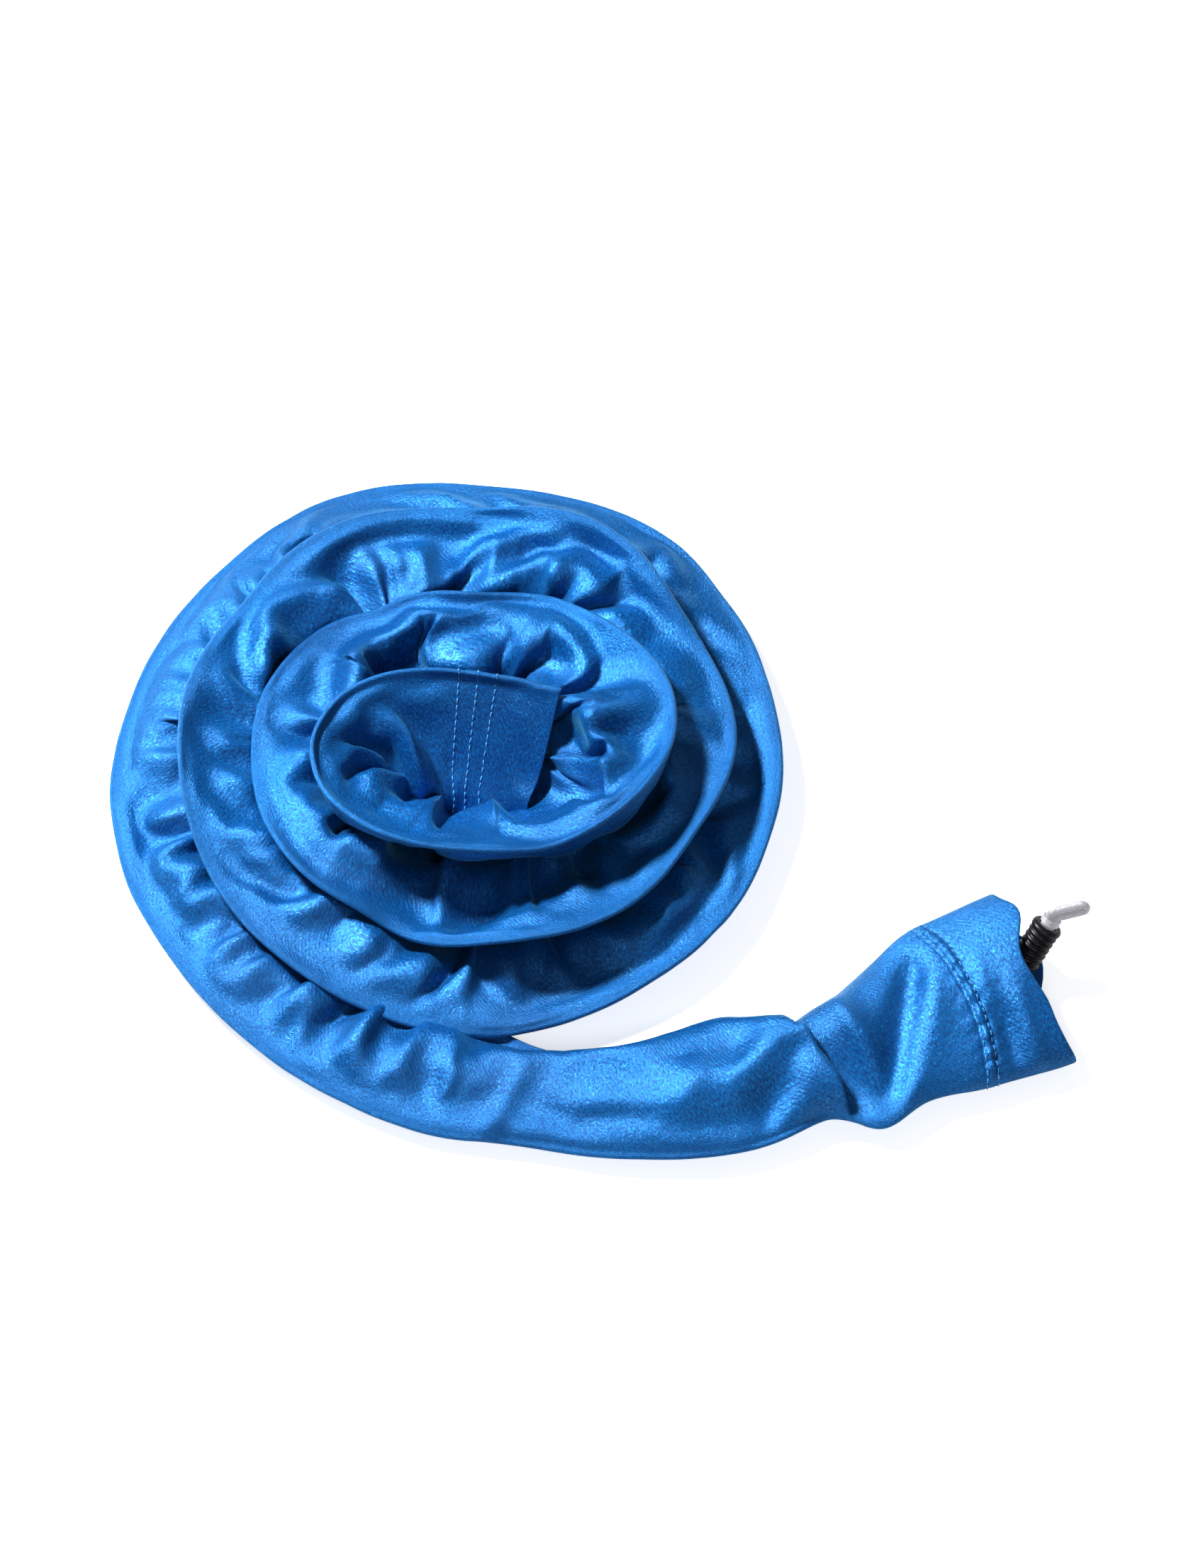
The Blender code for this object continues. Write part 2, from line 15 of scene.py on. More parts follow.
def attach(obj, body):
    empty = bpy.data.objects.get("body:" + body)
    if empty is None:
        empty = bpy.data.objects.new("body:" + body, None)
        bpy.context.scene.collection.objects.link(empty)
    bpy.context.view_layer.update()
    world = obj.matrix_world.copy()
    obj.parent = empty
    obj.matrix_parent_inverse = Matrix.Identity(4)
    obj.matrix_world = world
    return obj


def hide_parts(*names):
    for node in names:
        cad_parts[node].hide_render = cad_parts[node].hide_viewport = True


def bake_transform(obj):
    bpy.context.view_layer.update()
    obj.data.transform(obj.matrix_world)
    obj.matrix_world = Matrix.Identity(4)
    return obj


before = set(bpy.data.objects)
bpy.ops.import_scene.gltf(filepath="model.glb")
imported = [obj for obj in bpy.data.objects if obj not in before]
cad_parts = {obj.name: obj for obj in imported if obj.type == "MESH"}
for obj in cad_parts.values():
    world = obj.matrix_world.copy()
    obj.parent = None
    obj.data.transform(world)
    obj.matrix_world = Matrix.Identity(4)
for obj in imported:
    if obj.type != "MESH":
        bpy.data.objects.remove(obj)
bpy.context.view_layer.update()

MM = 0.001
TAU = 2 * math.pi
FOLDS_SEED, STITCH_SEED = 7, 11

# The sleeve's path, as in the solid model.
COIL_CENTRE = np.array([-47.75, 20.35])
EDGE_RADIUS = 112.3
TURN_PITCH = 25.0
SPIRAL_FROM, SPIRAL_TO = -810.0, 205.0
INNER_TILT, COIL_TILT, MOUTH_TILT = 58.0, 30.0, -7.4
STEEP_UNTIL = -560.0
LEAN_STARTS, LEAN_ENDS = -150.0, 110.0
COIL_HALF_WIDTH, END_HALF_WIDTH = 27, 25
INNER_MOUTH, INNER_HEADING = np.array([29.0, -5.0]), 160
TAIL_LOW = np.array([60.0, -135.0])
OPEN_MOUTH, MOUTH_HEADING = np.array([199.0, -86.0]), 24.4
# How far each curve's handles reach from its two ends, and how many points it has.
INNER_HANDLES, INNER_POINTS = (92, 60), 40
SPIRAL_POINTS = 500
COIL_END_HANDLES, MOUTH_HANDLES, TAIL_POINTS = (62, 80), (35, 60), 60
HEADING_SPAN = 4
MOUTH_TILT_REACH = 66
# Distance from the open mouth, half width and half thickness.
PROFILE = np.array([
    (0, 35, 10.5), (30, 34, 9.5), (58, 30, 8.5), (84, 24, 8), (115, 27.5, 8), (155, 24, 7),
    (185, 21.5, 6), (220, 25, 6), (440, 25, 5.8), (700, 27, 4.4), (3000, 27, 4.4),
], float)


def ease(start, end, x):
    share = np.clip((np.asarray(x, float) - start) / (end - start), 0, 1)
    return share * share * (3 - 2 * share)


def mix(a, b, share):
    return a + (b - a) * share


def smooth_steps(knots, values, x):
    low = np.clip(np.searchsorted(knots, x, side="right") - 1, 0, len(knots) - 2)
    knots, values = np.array(knots), np.array(values, float)
    share = ease(0, 1, (x - knots[low]) / (knots[low + 1] - knots[low]))
    return mix(values[low], values[low + 1], share)


def compass(degrees):
    return np.array([math.cos(math.radians(degrees)), math.sin(math.radians(degrees))])


# Where the soft turns lie off the even spiral: the angle along it, and how far outwards.
TURN_SHIFTS = np.array([
    (-810, 0), (-720, 12), (-672, -2), (-630, -15), (-596, -9), (-575, -2), (-540, 1), (-497, 4),
    (-474, 0), (-450, 3), (-415, 7), (-388, 4), (-360, 8), (-322, 2), (-297, 5.5), (-270, 1.5),
    (-238, 3.5), (-212, -0.5), (-180, 2),
    (-90, 5), (-45, 3), (-10, -1), (15, -3.5), (35, -2.5), (53, 0.5), (85, -3.5), (116, -0.3),
    (140, -3), (165, -2), (190, 1.5), (205, 2.5),
], float)
SAG_ANGLE, SAG_REACH = -85.0, 75.0  # where the second turn's front lies down onto the floor
SAG_SHARE = 0.7
TILT_WAVES = ((4.5, 3.3, 0), (3.5, 5.7, 40))  # height in degrees, how often a turn, how late
WAVES_RISE = 40


def turn_tilt(angle):
    steep = mix(INNER_TILT, COIL_TILT, ease(SPIRAL_FROM, STEEP_UNTIL, angle))
    lies_flat = SAG_SHARE * (1 - ease(0, SAG_REACH, np.abs(angle - SAG_ANGLE)))
    wave = sum(high * np.sin(np.radians(often * angle + late)) for high, often, late in TILT_WAVES)
    steep = steep + wave * ease(SPIRAL_FROM, SPIRAL_FROM + WAVES_RISE, angle)
    return mix(steep, 0, ease(LEAN_STARTS, LEAN_ENDS, angle)) * (1 - lies_flat)


def spiral(angle):
    half_width = mix(COIL_HALF_WIDTH, END_HALF_WIDTH, ease(LEAN_STARTS, LEAN_ENDS, angle))
    inset = half_width * math.cos(math.radians(turn_tilt(angle)))
    shift = smooth_steps(TURN_SHIFTS[:, 0], TURN_SHIFTS[:, 1], angle)
    return compass(angle) * (EDGE_RADIUS + TURN_PITCH * angle / 360 - inset + shift)


def bezier(start, heading, end, last_heading, handles, count):
    t = (np.arange(count) / count)[:, None]
    a, b, c, d = start, start + heading * handles[0], end - last_heading * handles[1], end
    return a * (1 - t) ** 3 + b * 3 * t * (1 - t) ** 2 + c * 3 * t * t * (1 - t) + d * t**3


TURNS = np.linspace(SPIRAL_FROM, SPIRAL_TO, SPIRAL_POINTS)[:-1]
TURN_ROWS = slice(INNER_POINTS, INNER_POINTS + len(TURNS))


def course():
    """Points of the path from the inner mouth, the tilt at each, and how far along each is."""
    first, last = spiral(SPIRAL_FROM), spiral(SPIRAL_TO)
    points = np.concatenate([
        bezier(INNER_MOUTH, compass(INNER_HEADING), first, compass(SPIRAL_FROM + 90),
               INNER_HANDLES, INNER_POINTS),
        np.array([spiral(angle) for angle in TURNS]),
        bezier(last, compass(SPIRAL_TO + 90), TAIL_LOW, compass(0), COIL_END_HANDLES, TAIL_POINTS),
        bezier(TAIL_LOW, compass(0), OPEN_MOUTH, compass(MOUTH_HEADING), MOUTH_HANDLES, TAIL_POINTS),
        OPEN_MOUTH[None],
    ]) + COIL_CENTRE
    tilts = np.zeros(len(points))
    tilts[:INNER_POINTS] = INNER_TILT
    tilts[TURN_ROWS] = [float(turn_tilt(angle)) for angle in TURNS]
    steps = np.linalg.norm(np.diff(points, axis=0), axis=1)
    reach = np.concatenate([[0], np.cumsum(steps)])
    return points, tilts, reach


PATH, TILTS, REACH = course()
LENGTH = REACH[-1]


def angle_along(s):
    """The angle along the spiral at distances from the inner mouth."""
    return np.interp(s, REACH[TURN_ROWS], TURNS)


def along_path(s):
    """Point, tilt, heading and side direction at distances from the inner mouth."""
    def at(x):
        return np.stack([np.interp(x, REACH, PATH[:, 0]), np.interp(x, REACH, PATH[:, 1])], -1)

    heading = at(s + HEADING_SPAN) - at(s - HEADING_SPAN)
    heading /= np.linalg.norm(heading, axis=-1, keepdims=True)
    side = np.stack([heading[:, 1], -heading[:, 0]], -1)
    tilt = np.interp(s, REACH, TILTS) + MOUTH_TILT * ease(MOUTH_TILT_REACH, 0, LENGTH - s)
    return at(s), tilt, heading, side


def profile(distance):
    rows = PROFILE[:, 0]
    low = np.clip(np.searchsorted(rows, distance, side="right") - 1, 0, len(rows) - 2)
    share = ease(0, 1, (distance - rows[low]) / (rows[low + 1] - rows[low]))
    return (mix(PROFILE[low, 1], PROFILE[low + 1, 1], share),
            mix(PROFILE[low, 2], PROFILE[low + 1, 2], share))


# ---------------------------------------------------------------- the cloth at the start

CELL = 3.3
FINE_CELL = 2.0
HEM_LENGTH = 40.0
AROUND = 30
ANGLES = (np.arange(AROUND) + 0.5) / AROUND * TAU
RIM_UPPER = ((0, 0.07, 0.14, 0.2, 0.3, 0.42, 0.57, 0.68, 0.78, 0.9, 1),
             (-1.5, -0.6, 3.2, 3.6, 0.2, -3.9, -3.7, -1.5, -2.5, -1.9, -0.5))
RIM_LOWER = ((0, 0.15, 0.34, 0.46, 0.58, 1), (-1.5, 0.0, 7.8, 7.0, -1.0, -0.5))
RIM_REACH = 34
CREASE = 84.0  # from the open mouth
LIP_REACH, LIP_CELL = 12, 1.6
NECK_GAP, NECK_ROWS = 2.5, 11
FINE_STEPS = 4000
LENS_POWER = 0.7
OVAL_REACH = (34, 60)
FLOOR_GAP = 0.6
SPARE_WIDTH = 3.5  # cloth that the rolled turns have at their inner side
SPARE_REACH = (330, 700)
SKIRTS = ((-775, 80, 14.0), (-445, 75, 12.0))  # where more of it covers the floor: angle, reach, width


def stations():
    """Distances from the inner mouth, evenly spaced along the sleeve's outer edge, closer at both hems."""
    fine = np.linspace(0, LENGTH, FINE_STEPS)
    point, tilt, _, side = along_path(fine)
    width, _ = profile(LENGTH - fine)
    edge = point + side * (width * np.cos(np.radians(tilt)))[:, None]
    run = np.concatenate([[0], np.cumsum(np.linalg.norm(np.diff(edge, axis=0), axis=1))])
    hem_rows = np.arange(0, HEM_LENGTH, FINE_CELL)
    lip = run[-1] - np.arange(CREASE + LIP_REACH, CREASE - LIP_REACH, -LIP_CELL)
    coil = np.linspace(HEM_LENGTH, lip[0] - CELL, int((lip[0] - HEM_LENGTH) / CELL))
    neck = np.linspace(lip[-1] + NECK_GAP, run[-1] - HEM_LENGTH, NECK_ROWS)
    rows = np.concatenate([hem_rows, coil, lip, neck, run[-1] - hem_rows[::-1]])
    return np.interp(rows, run, fine), rows


def section_height(s):
    """A share of the half thickness round the section: oval at the open mouth, a flat lens further in."""
    oval = np.sin(ANGLES)[None]
    lens = oval * np.abs(oval) ** LENS_POWER
    return mix(oval, lens, ease(*OVAL_REACH, LENGTH - s)[:, None])


def swept(s):
    """The flattened tube along the path, as a grid of points, with the ways along and out of each section."""
    point, tilt, heading, side = along_path(s)
    width, thick = profile(LENGTH - s)
    lean = np.radians(tilt)
    height = np.sqrt((width * np.sin(lean)) ** 2 + (thick * np.cos(lean)) ** 2) + FLOOR_GAP
    flat = side * np.cos(lean)[:, None]
    across = np.column_stack([flat, np.sin(lean)])
    through = np.column_stack([-side * np.sin(lean)[:, None], np.cos(lean)])
    centre = np.column_stack([point, height])
    inner = (1 - np.cos(ANGLES)) / 2
    angle = angle_along(s)
    spare = SPARE_WIDTH * ease(*SPARE_REACH, LENGTH - s)
    for middle, reach, wide in SKIRTS:
        spare += wide * np.exp(-(((angle - middle) / reach) ** 2))
    spare = spare[:, None] * inner**2
    x = width[:, None] * np.cos(ANGLES)
    y = thick[:, None] * section_height(s)
    grid = centre[:, None] + across[:, None] * x[..., None] + through[:, None] * y[..., None]
    grid[..., :2] -= side[:, None] * spare[..., None]
    return grid, heading, through


def grid_mesh(name, grid, scale):
    count, around = grid.shape[:2]
    faces = []
    for i in range(count - 1):
        for j in range(around):
            k = (j + 1) % around
            faces.append((i * around + j, (i + 1) * around + j, (i + 1) * around + k, i * around + k))
    mesh = bpy.data.meshes.new(name)
    mesh.from_pydata((grid.reshape(-1, 3) * scale).tolist(), [], faces)
    mesh.update()
    return mesh


GROWTH = 0.02  # the share by which the coil's cloth grows, so that it buckles
CRISP = 0.5  # how much of what the solver smooths away is put back
FRAMES = 10
SIM_SCALE = 0.01  # the solver is steadier on a larger object
HOLD_EDGE, HOLD_INNER_MOUTH, HOLD_REST = 0.95, 0.5, 0.05
HOLD_EDGE_FROM = 0.3
MOUTH_HELD, INNER_MOUTH_HELD = (30, 60), (30, 70)
COIL_BEGINS = (300, 420)  # only the cloth beyond this distance from the open mouth grows


def settle(start, s):
    """The cloth after Blender has let it buckle, fall and rest on itself and the floor."""
    count = len(s)
    sleeve = bpy.data.objects.new("loose_cloth", grid_mesh("loose_cloth", start, SIM_SCALE))
    bpy.context.scene.collection.objects.link(sleeve)
    held = sleeve.vertex_groups.new(name="held")
    ends = np.maximum(1 - ease(*MOUTH_HELD, LENGTH - s), HOLD_INNER_MOUTH * (1 - ease(*INNER_MOUTH_HELD, s)))
    edge = HOLD_EDGE * ease(HOLD_EDGE_FROM, 1.0, np.cos(ANGLES)) ** 2
    for i in range(count):
        for j in range(AROUND):
            held.add([i * AROUND + j], float(max(ends[i], edge[j], HOLD_REST)), "REPLACE")

    grows = sleeve.vertex_groups.new(name="grows")
    share = ease(*COIL_BEGINS, LENGTH - s)
    for i in range(count):
        grows.add(list(range(i * AROUND, (i + 1) * AROUND)), float(share[i]), "REPLACE")

    cloth = sleeve.modifiers.new("Cloth", "CLOTH")
    look = cloth.settings
    look.quality = 5
    look.mass = 0.15
    look.tension_stiffness = look.compression_stiffness = 30
    look.shear_stiffness = 8
    look.bending_stiffness = 0.2
    look.tension_damping = look.compression_damping = look.shear_damping = 8
    look.bending_damping = 1
    look.air_damping = 2
    look.shrink_min, look.shrink_max = 0, -GROWTH
    look.vertex_group_shrink = "grows"
    look.vertex_group_mass = "held"
    look.pin_stiffness = 1
    touch = cloth.collision_settings
    touch.use_self_collision = True
    touch.self_distance_min = 0.8 * SIM_SCALE
    touch.distance_min = 1.0 * SIM_SCALE
    touch.self_friction = 8
    touch.collision_quality = 3
    bpy.ops.mesh.primitive_plane_add(size=20)
    table = bpy.context.object
    table.modifiers.new("Collision", "COLLISION")
    table.collision.thickness_outer = 0.5 * SIM_SCALE
    table.collision.cloth_friction = 20

    scene = bpy.context.scene
    cloth.point_cache.frame_start, cloth.point_cache.frame_end = 1, FRAMES + 1
    for step in range(1, FRAMES + 2):
        scene.frame_set(step)
    evaluated = sleeve.evaluated_get(bpy.context.evaluated_depsgraph_get())
    mesh = evaluated.to_mesh()
    found = np.empty(len(mesh.vertices) * 3)
    mesh.vertices.foreach_get("co", found)
    evaluated.to_mesh_clear()
    for extra in (sleeve, table):
        bpy.data.objects.remove(extra)
    scene.frame_set(1)
    return found.reshape(start.shape) / SIM_SCALE


PLEATS_FROM, PLEATS_STOP_BEFORE = 70.0, 225
PAIRED, PAIR_GAP, LONE_GAP = 0.4, (7, 11), (16, 28)
PLEAT_HEIGHT, PLEAT_WIDTH, PLEAT_SLANT = (4.5, 7.5), (2.6, 4.2), (-16, 10)
PLEAT_RISE, PLEAT_LEAN = (0.03, 0.14), (-0.6, 0.6)
INNER_TURNS = (1350, 900)  # from here inwards the pleats are larger, by these factors
INNER_GAP, INNER_HEIGHT, INNER_WIDTH = 1.15, 1.3, 1.7
PLEAT_SHARPNESS, FOLD_SHARPNESS, RIDGE_SHARPNESS = 1.4, 1.5, 1.6
PLEAT_PIVOT, PLEAT_FULL = 0.2, 0.4  # shares of the width from the outer edge
PLEAT_LOWERS, PLEAT_LOWERED = (0.5, 0.9), 0.5  # towards the inner edge
PLEATS_LEVEL, LEVEL_ROWS = 0.8, 31
PLEATS_END, PLEATS_BEGIN = (50, 110), (20, 60)
START_NOISE = 0.08
LONG_FOLDS_ON_TOP = (-0.2, 0.2)  # they fade out over this range of the angle's sine


def pleats(rows, rng):
    """Where each pleat stands along the cloth, its height, width and slant, and where it rises and leans."""
    found = []
    at = PLEATS_FROM
    while at < rows[-1] - PLEATS_STOP_BEFORE:
        inner_turns = ease(*INNER_TURNS, at)
        gap = rng.uniform(*PAIR_GAP) if rng.random() < PAIRED else rng.uniform(*LONE_GAP)
        gap *= mix(1, INNER_GAP, inner_turns)
        high = rng.uniform(*PLEAT_HEIGHT) * mix(1, INNER_HEIGHT, inner_turns)
        wide = rng.uniform(*PLEAT_WIDTH) * mix(1, INNER_WIDTH, inner_turns)
        slant = rng.uniform(*PLEAT_SLANT)
        found.append((at, high, wide, slant, rng.uniform(*PLEAT_RISE), rng.uniform(*PLEAT_LEAN)))
        at += gap
    return found


# Folds that run aslant along the rolled turns: where each starts and ends, as an angle along the spiral and a
# share of the width from the outer edge, and then its height and width.
LONG_FOLDS = (
    (-500, 0.25, -425, 0.75, 6.5, 5.0),
    (-560, 0.55, -500, 0.95, 5.0, 4.0),
    (-455, 0.2, -405, 0.6, -6.0, 5.0),
    (-745, 0.3, -690, 0.75, 6.0, 5.0),
    (-640, 0.3, -585, 0.6, -5.0, 5.0),
    (-610, 0.2, -560, 0.5, 6.0, 5.0),
    (-380, 0.25, -345, 0.7, 5.0, 4.5),
    (-300, 0.2, -262, 0.65, -5.5, 5.0),
    (-268, 0.55, -235, 0.85, 5.5, 4.0),
    (-215, 0.2, -190, 0.6, 5.0, 4.5),
)


def long_folds(s, width):
    """How high the aslant folds stand at each point of the grid."""
    angle = angle_along(s)
    inner = (1 - np.cos(ANGLES)) / 2
    lift = np.zeros((len(s), AROUND))
    spot = np.stack(np.broadcast_arrays(s[:, None], 2 * width[:, None] * inner), -1)
    for start, start_share, end, end_share, high, wide in LONG_FOLDS:
        ends = np.interp((start, end), angle, s)
        across = 2 * np.interp(ends, s, width) * (start_share, end_share)
        first = np.array([ends[0], across[0]])
        along = np.array([ends[1] - ends[0], across[1] - across[0]])
        share = np.clip((spot - first) @ along / (along @ along), 0, 1)
        off = np.linalg.norm(spot - first - share[..., None] * along, axis=-1)
        lift += high * np.exp(-((off / wide) ** FOLD_SHARPNESS))
    return lift * ease(*LONG_FOLDS_ON_TOP, np.sin(ANGLES))


def starting_folds(s, rows, grid, heading, through, rng):
    """Pleats for the cloth to settle from: sharp ridges that grow from the outer edge to the inner one."""
    inner = (1 - np.cos(ANGLES)) / 2
    lift = np.zeros(grid.shape[:2])
    push = np.zeros(grid.shape[:2])
    for at, high, wide, slant, grows_from, leans in pleats(rows, rng):
        off = rows[:, None] - at - slant * (inner - PLEAT_PIVOT)
        reach = ease(grows_from, PLEAT_FULL, inner) * mix(1, PLEAT_LOWERED, ease(*PLEAT_LOWERS, inner))
        ridge = high * reach * np.exp(-((np.abs(off) / wide) ** PLEAT_SHARPNESS))
        lift += ridge
        push += ridge * leans
    around_it = np.ones(LEVEL_ROWS) / LEVEL_ROWS
    level = np.apply_along_axis(lambda line: np.convolve(line, around_it, "same"), 0, lift)
    lift += long_folds(s, profile(LENGTH - s)[0]) - PLEATS_LEVEL * level
    fade = (ease(*PLEATS_END, LENGTH - s) * ease(*PLEATS_BEGIN, s))[:, None]
    forward = np.column_stack([heading, np.zeros(len(s))])
    moved = grid + through[:, None] * (lift * fade)[..., None] + forward[:, None] * (push * fade)[..., None]
    moved += rng.normal(0, START_NOISE, moved.shape) * ease(*MOUTH_HELD, LENGTH - s)[:, None, None]
    return moved


# Folds of the free end, each along a line seen from above, from the coil's centre: both ends, height, width.
# The first set fades out at the channel and the second lies between the channel and the rim.
TAIL_FOLDS = (
    (157, -88, 148, -136, -6.0, 4.6),
    (165, -90, 155, -142, 2.5, 6.0),
    (130, -102, 146, -129, 3.2, 3.5),
    (107, -111, 93, -141, 2.6, 5.0),
    (88, -109, 77, -141, 2.2, 6.0),
    (116, -121, 105, -145, -3.0, 4.0),
    (20, -127, 8, -148, 2.6, 3.4),
    (-5, -112, -22, -132, 3.0, 3.0),
    (-30, -104, -46, -120, 3.4, 3.2),
    (-38, -100, -60, -108, -2.6, 3.5),
)
MOUTH_FOLDS = (
    (188, -106, 192, -120, -2.3, 3.4),
    (193, -98, 201, -124, 1.8, 4.2),
    (179, -88, 185, -104, 1.3, 3.2),
)
TAIL_FOLDS_FADE, TAIL_FOLDS_END, MOUTH_FOLDS_END = (26, 40), 340, 60
# The lip at the crease: how high it stands, how deep the cloth in front of it dips, and over what reach.
LIP_HEIGHT, LIP_SLOPE = 5.4, 28
LIP_DIP, DIP_SLOPE = 2.4, 18
LIP_OVERHANG, OVERHANG_SLOPE = 2.4, 9
LIP_AT, LIP_SLANT = CREASE - 3.2, 12
# Ranges of the angle's sine over which the tail's folds and the lip fade out, and of its cosine towards the
# two edges, for the lip, the crisping and the evening out.
TAIL_FOLDS_ON_TOP, LIP_ON_TOP, LIP_EDGE = (-0.1, 0.3), (-0.1, 0.35), (0.7, 1.0)
CRISP_OUTER_EDGE, CRISP_INNER_EDGE, EVEN_EDGE = (1.0, 0.8), (-1.0, -0.85), (0.6, 0.95)
SOFTEN_PASSES, EVEN_PASSES = 6, 4
EVEN_MIDDLE, EVEN_EDGES = 0.25, 0.9
CRISP_END, CRISP_BEGIN = (40, 70), (20, 50)
START_FLOOR, CLOTH_FLOOR = 0.5, 0.4


def crisper(grid, s):
    """Ridges and hollows drawn out a little, as the solver rounds them off."""
    soft = grid.copy()
    for _ in range(SOFTEN_PASSES):
        along = soft.copy()
        along[1:-1] = (soft[:-2] + 2 * soft[1:-1] + soft[2:]) / 4
        soft = (np.roll(along, 1, axis=1) + 2 * along + np.roll(along, -1, axis=1)) / 4
    share = CRISP * ease(*CRISP_END, LENGTH - s) * ease(*CRISP_BEGIN, s)
    share = share[:, None] * ease(*CRISP_OUTER_EDGE, np.cos(ANGLES)) * ease(*CRISP_INNER_EDGE, np.cos(ANGLES))
    sharp = grid + (grid - soft) * share[..., None]
    even = sharp.copy()
    for _ in range(EVEN_PASSES):
        even[1:-1] = (even[:-2] + 2 * even[1:-1] + even[2:]) / 4
    at_edges = ease(*EVEN_EDGE, np.abs(np.cos(ANGLES)))
    share = mix(EVEN_MIDDLE, EVEN_EDGES, at_edges) * ease(*OVAL_REACH, LENGTH - s)[:, None]
    sharp += (even - sharp) * share[..., None]
    sharp[..., 2] = np.maximum(sharp[..., 2], CLOTH_FLOOR)
    return sharp


def ridges(plan, folds):
    """How far folds given as (start x, y, end x, y, height, width) raise each point of a plan view."""
    lift = np.zeros(plan.shape[:2])
    for x1, y1, x2, y2, height, wide in folds:
        start, along = np.array([x1, y1]), np.array([x2 - x1, y2 - y1])
        share = np.clip(((plan - start) @ along) / (along @ along), 0, 1)
        off = np.linalg.norm(plan - start - share[..., None] * along, axis=-1)
        lift += height * np.exp(-((off / wide) ** RIDGE_SHARPNESS))
    return lift


def tail_folds(s, grid, heading, through):
    """The free end's own folds, and the lip where the pulled-out end comes from under the coil's end."""
    plan = grid[..., :2] - COIL_CENTRE
    away = LENGTH - s[:, None]
    lift = ridges(plan, TAIL_FOLDS) * ease(*TAIL_FOLDS_FADE, away) * (away < TAIL_FOLDS_END)
    lift += ridges(plan, MOUTH_FOLDS) * (away < MOUTH_FOLDS_END)
    lift *= ease(*TAIL_FOLDS_ON_TOP, np.sin(ANGLES))
    inner = (1 - np.cos(ANGLES)) / 2
    behind = away - (LIP_AT + LIP_SLANT * inner**2)
    top = ease(*LIP_ON_TOP, np.sin(ANGLES)) * (1 - ease(*LIP_EDGE, np.cos(ANGLES)))
    step = np.where(behind > 0, LIP_HEIGHT * (1 - ease(0, LIP_SLOPE, behind)),
                    -LIP_DIP * (1 - ease(0, DIP_SLOPE, -behind)))
    lift += step * top
    over = LIP_OVERHANG * (behind > 0) * (1 - ease(0, OVERHANG_SLOPE, behind)) * top
    forward = np.column_stack([heading, np.zeros(len(s))])
    return grid + through[:, None] * lift[..., None] + forward[:, None] * over[..., None]


# How far the free end's two edges lie off its even outline: distance from the mouth, reach, outwards.
NEAR_EDGE = ((72, 10, 9.0), (88, 6, -1.0), (0, 24, 2.5))
FAR_EDGE = ((91, 6, -3.5), (125, 28, 8.0), (64, 18, -4.0), (0, 30, -2.4))


def shift_edges(grid, s, side):
    """The free end's edges moved out and in, as its folds push and pull them."""
    away = LENGTH - s
    near, far = (sum(out * np.exp(-(((away - at) / reach) ** 2)) for at, reach, out in edge)
                 for edge in (NEAR_EDGE, FAR_EDGE))
    shift = near[:, None] * ease(0, 1, np.cos(ANGLES)) - far[:, None] * ease(0, -1, np.cos(ANGLES))
    outward = np.column_stack([side, np.zeros(len(s))])
    return grid + outward[:, None] * shift[..., None]


def shape_mouth(grid, s, heading):
    """The rim's curve: the upper layer bulges where the stopper leans on it, the lower one shows as a tab."""
    across = (1 + np.cos(ANGLES)) / 2
    reach = np.where(np.sin(ANGLES) > 0, smooth_steps(*RIM_UPPER, across), smooth_steps(*RIM_LOWER, across))
    fade = 1 - ease(0, RIM_REACH, LENGTH - s)
    forward = np.column_stack([heading, np.zeros(len(s))])
    return grid + forward[:, None] * (fade[:, None] * reach)[..., None]


rng = np.random.default_rng(FOLDS_SEED)
s, rows = stations()
grid, heading, through = swept(s)
grid = shape_mouth(grid, s, heading)
grid = shift_edges(grid, s, along_path(s)[3])
start = starting_folds(s, rows, grid, heading, through, rng)
start[..., 2] = np.maximum(start[..., 2], START_FLOOR)
settled = settle(start, s)
settled = tail_folds(s, crisper(settled, s), heading, through)
settled[..., 2] = np.maximum(settled[..., 2], CLOTH_FLOOR)

# ---------------------------------------------------------------- materials


def nodes_of(name):
    made = bpy.data.materials.new(name)
    made.use_nodes = True
    tree = made.node_tree
    return made, tree, tree.nodes["Principled BSDF"]


def add(tree, kind, **inputs):
    node = tree.nodes.new(kind)
    for key, value in inputs.items():
        if hasattr(node, key) and key not in node.inputs:
            setattr(node, key, value)
        else:
            node.inputs[key].default_value = value
    return node


def ramp(tree, source, stops):
    node = tree.nodes.new("ShaderNodeValToRGB")
    line = node.color_ramp
    while len(line.elements) < len(stops):
        line.elements.new(0.5)
    for element, (where, colour) in zip(line.elements, stops):
        element.position = where
        element.color = (*colour, 1)
    tree.links.new(source, node.inputs["Fac"])
    return node


def bump(tree, height, strength, distance, before=None):
    node = add(tree, "ShaderNodeBump", Strength=strength, Distance=distance)
    tree.links.new(height, node.inputs["Height"])
    if before is not None:
        tree.links.new(before.outputs["Normal"], node.inputs["Normal"])
    return node


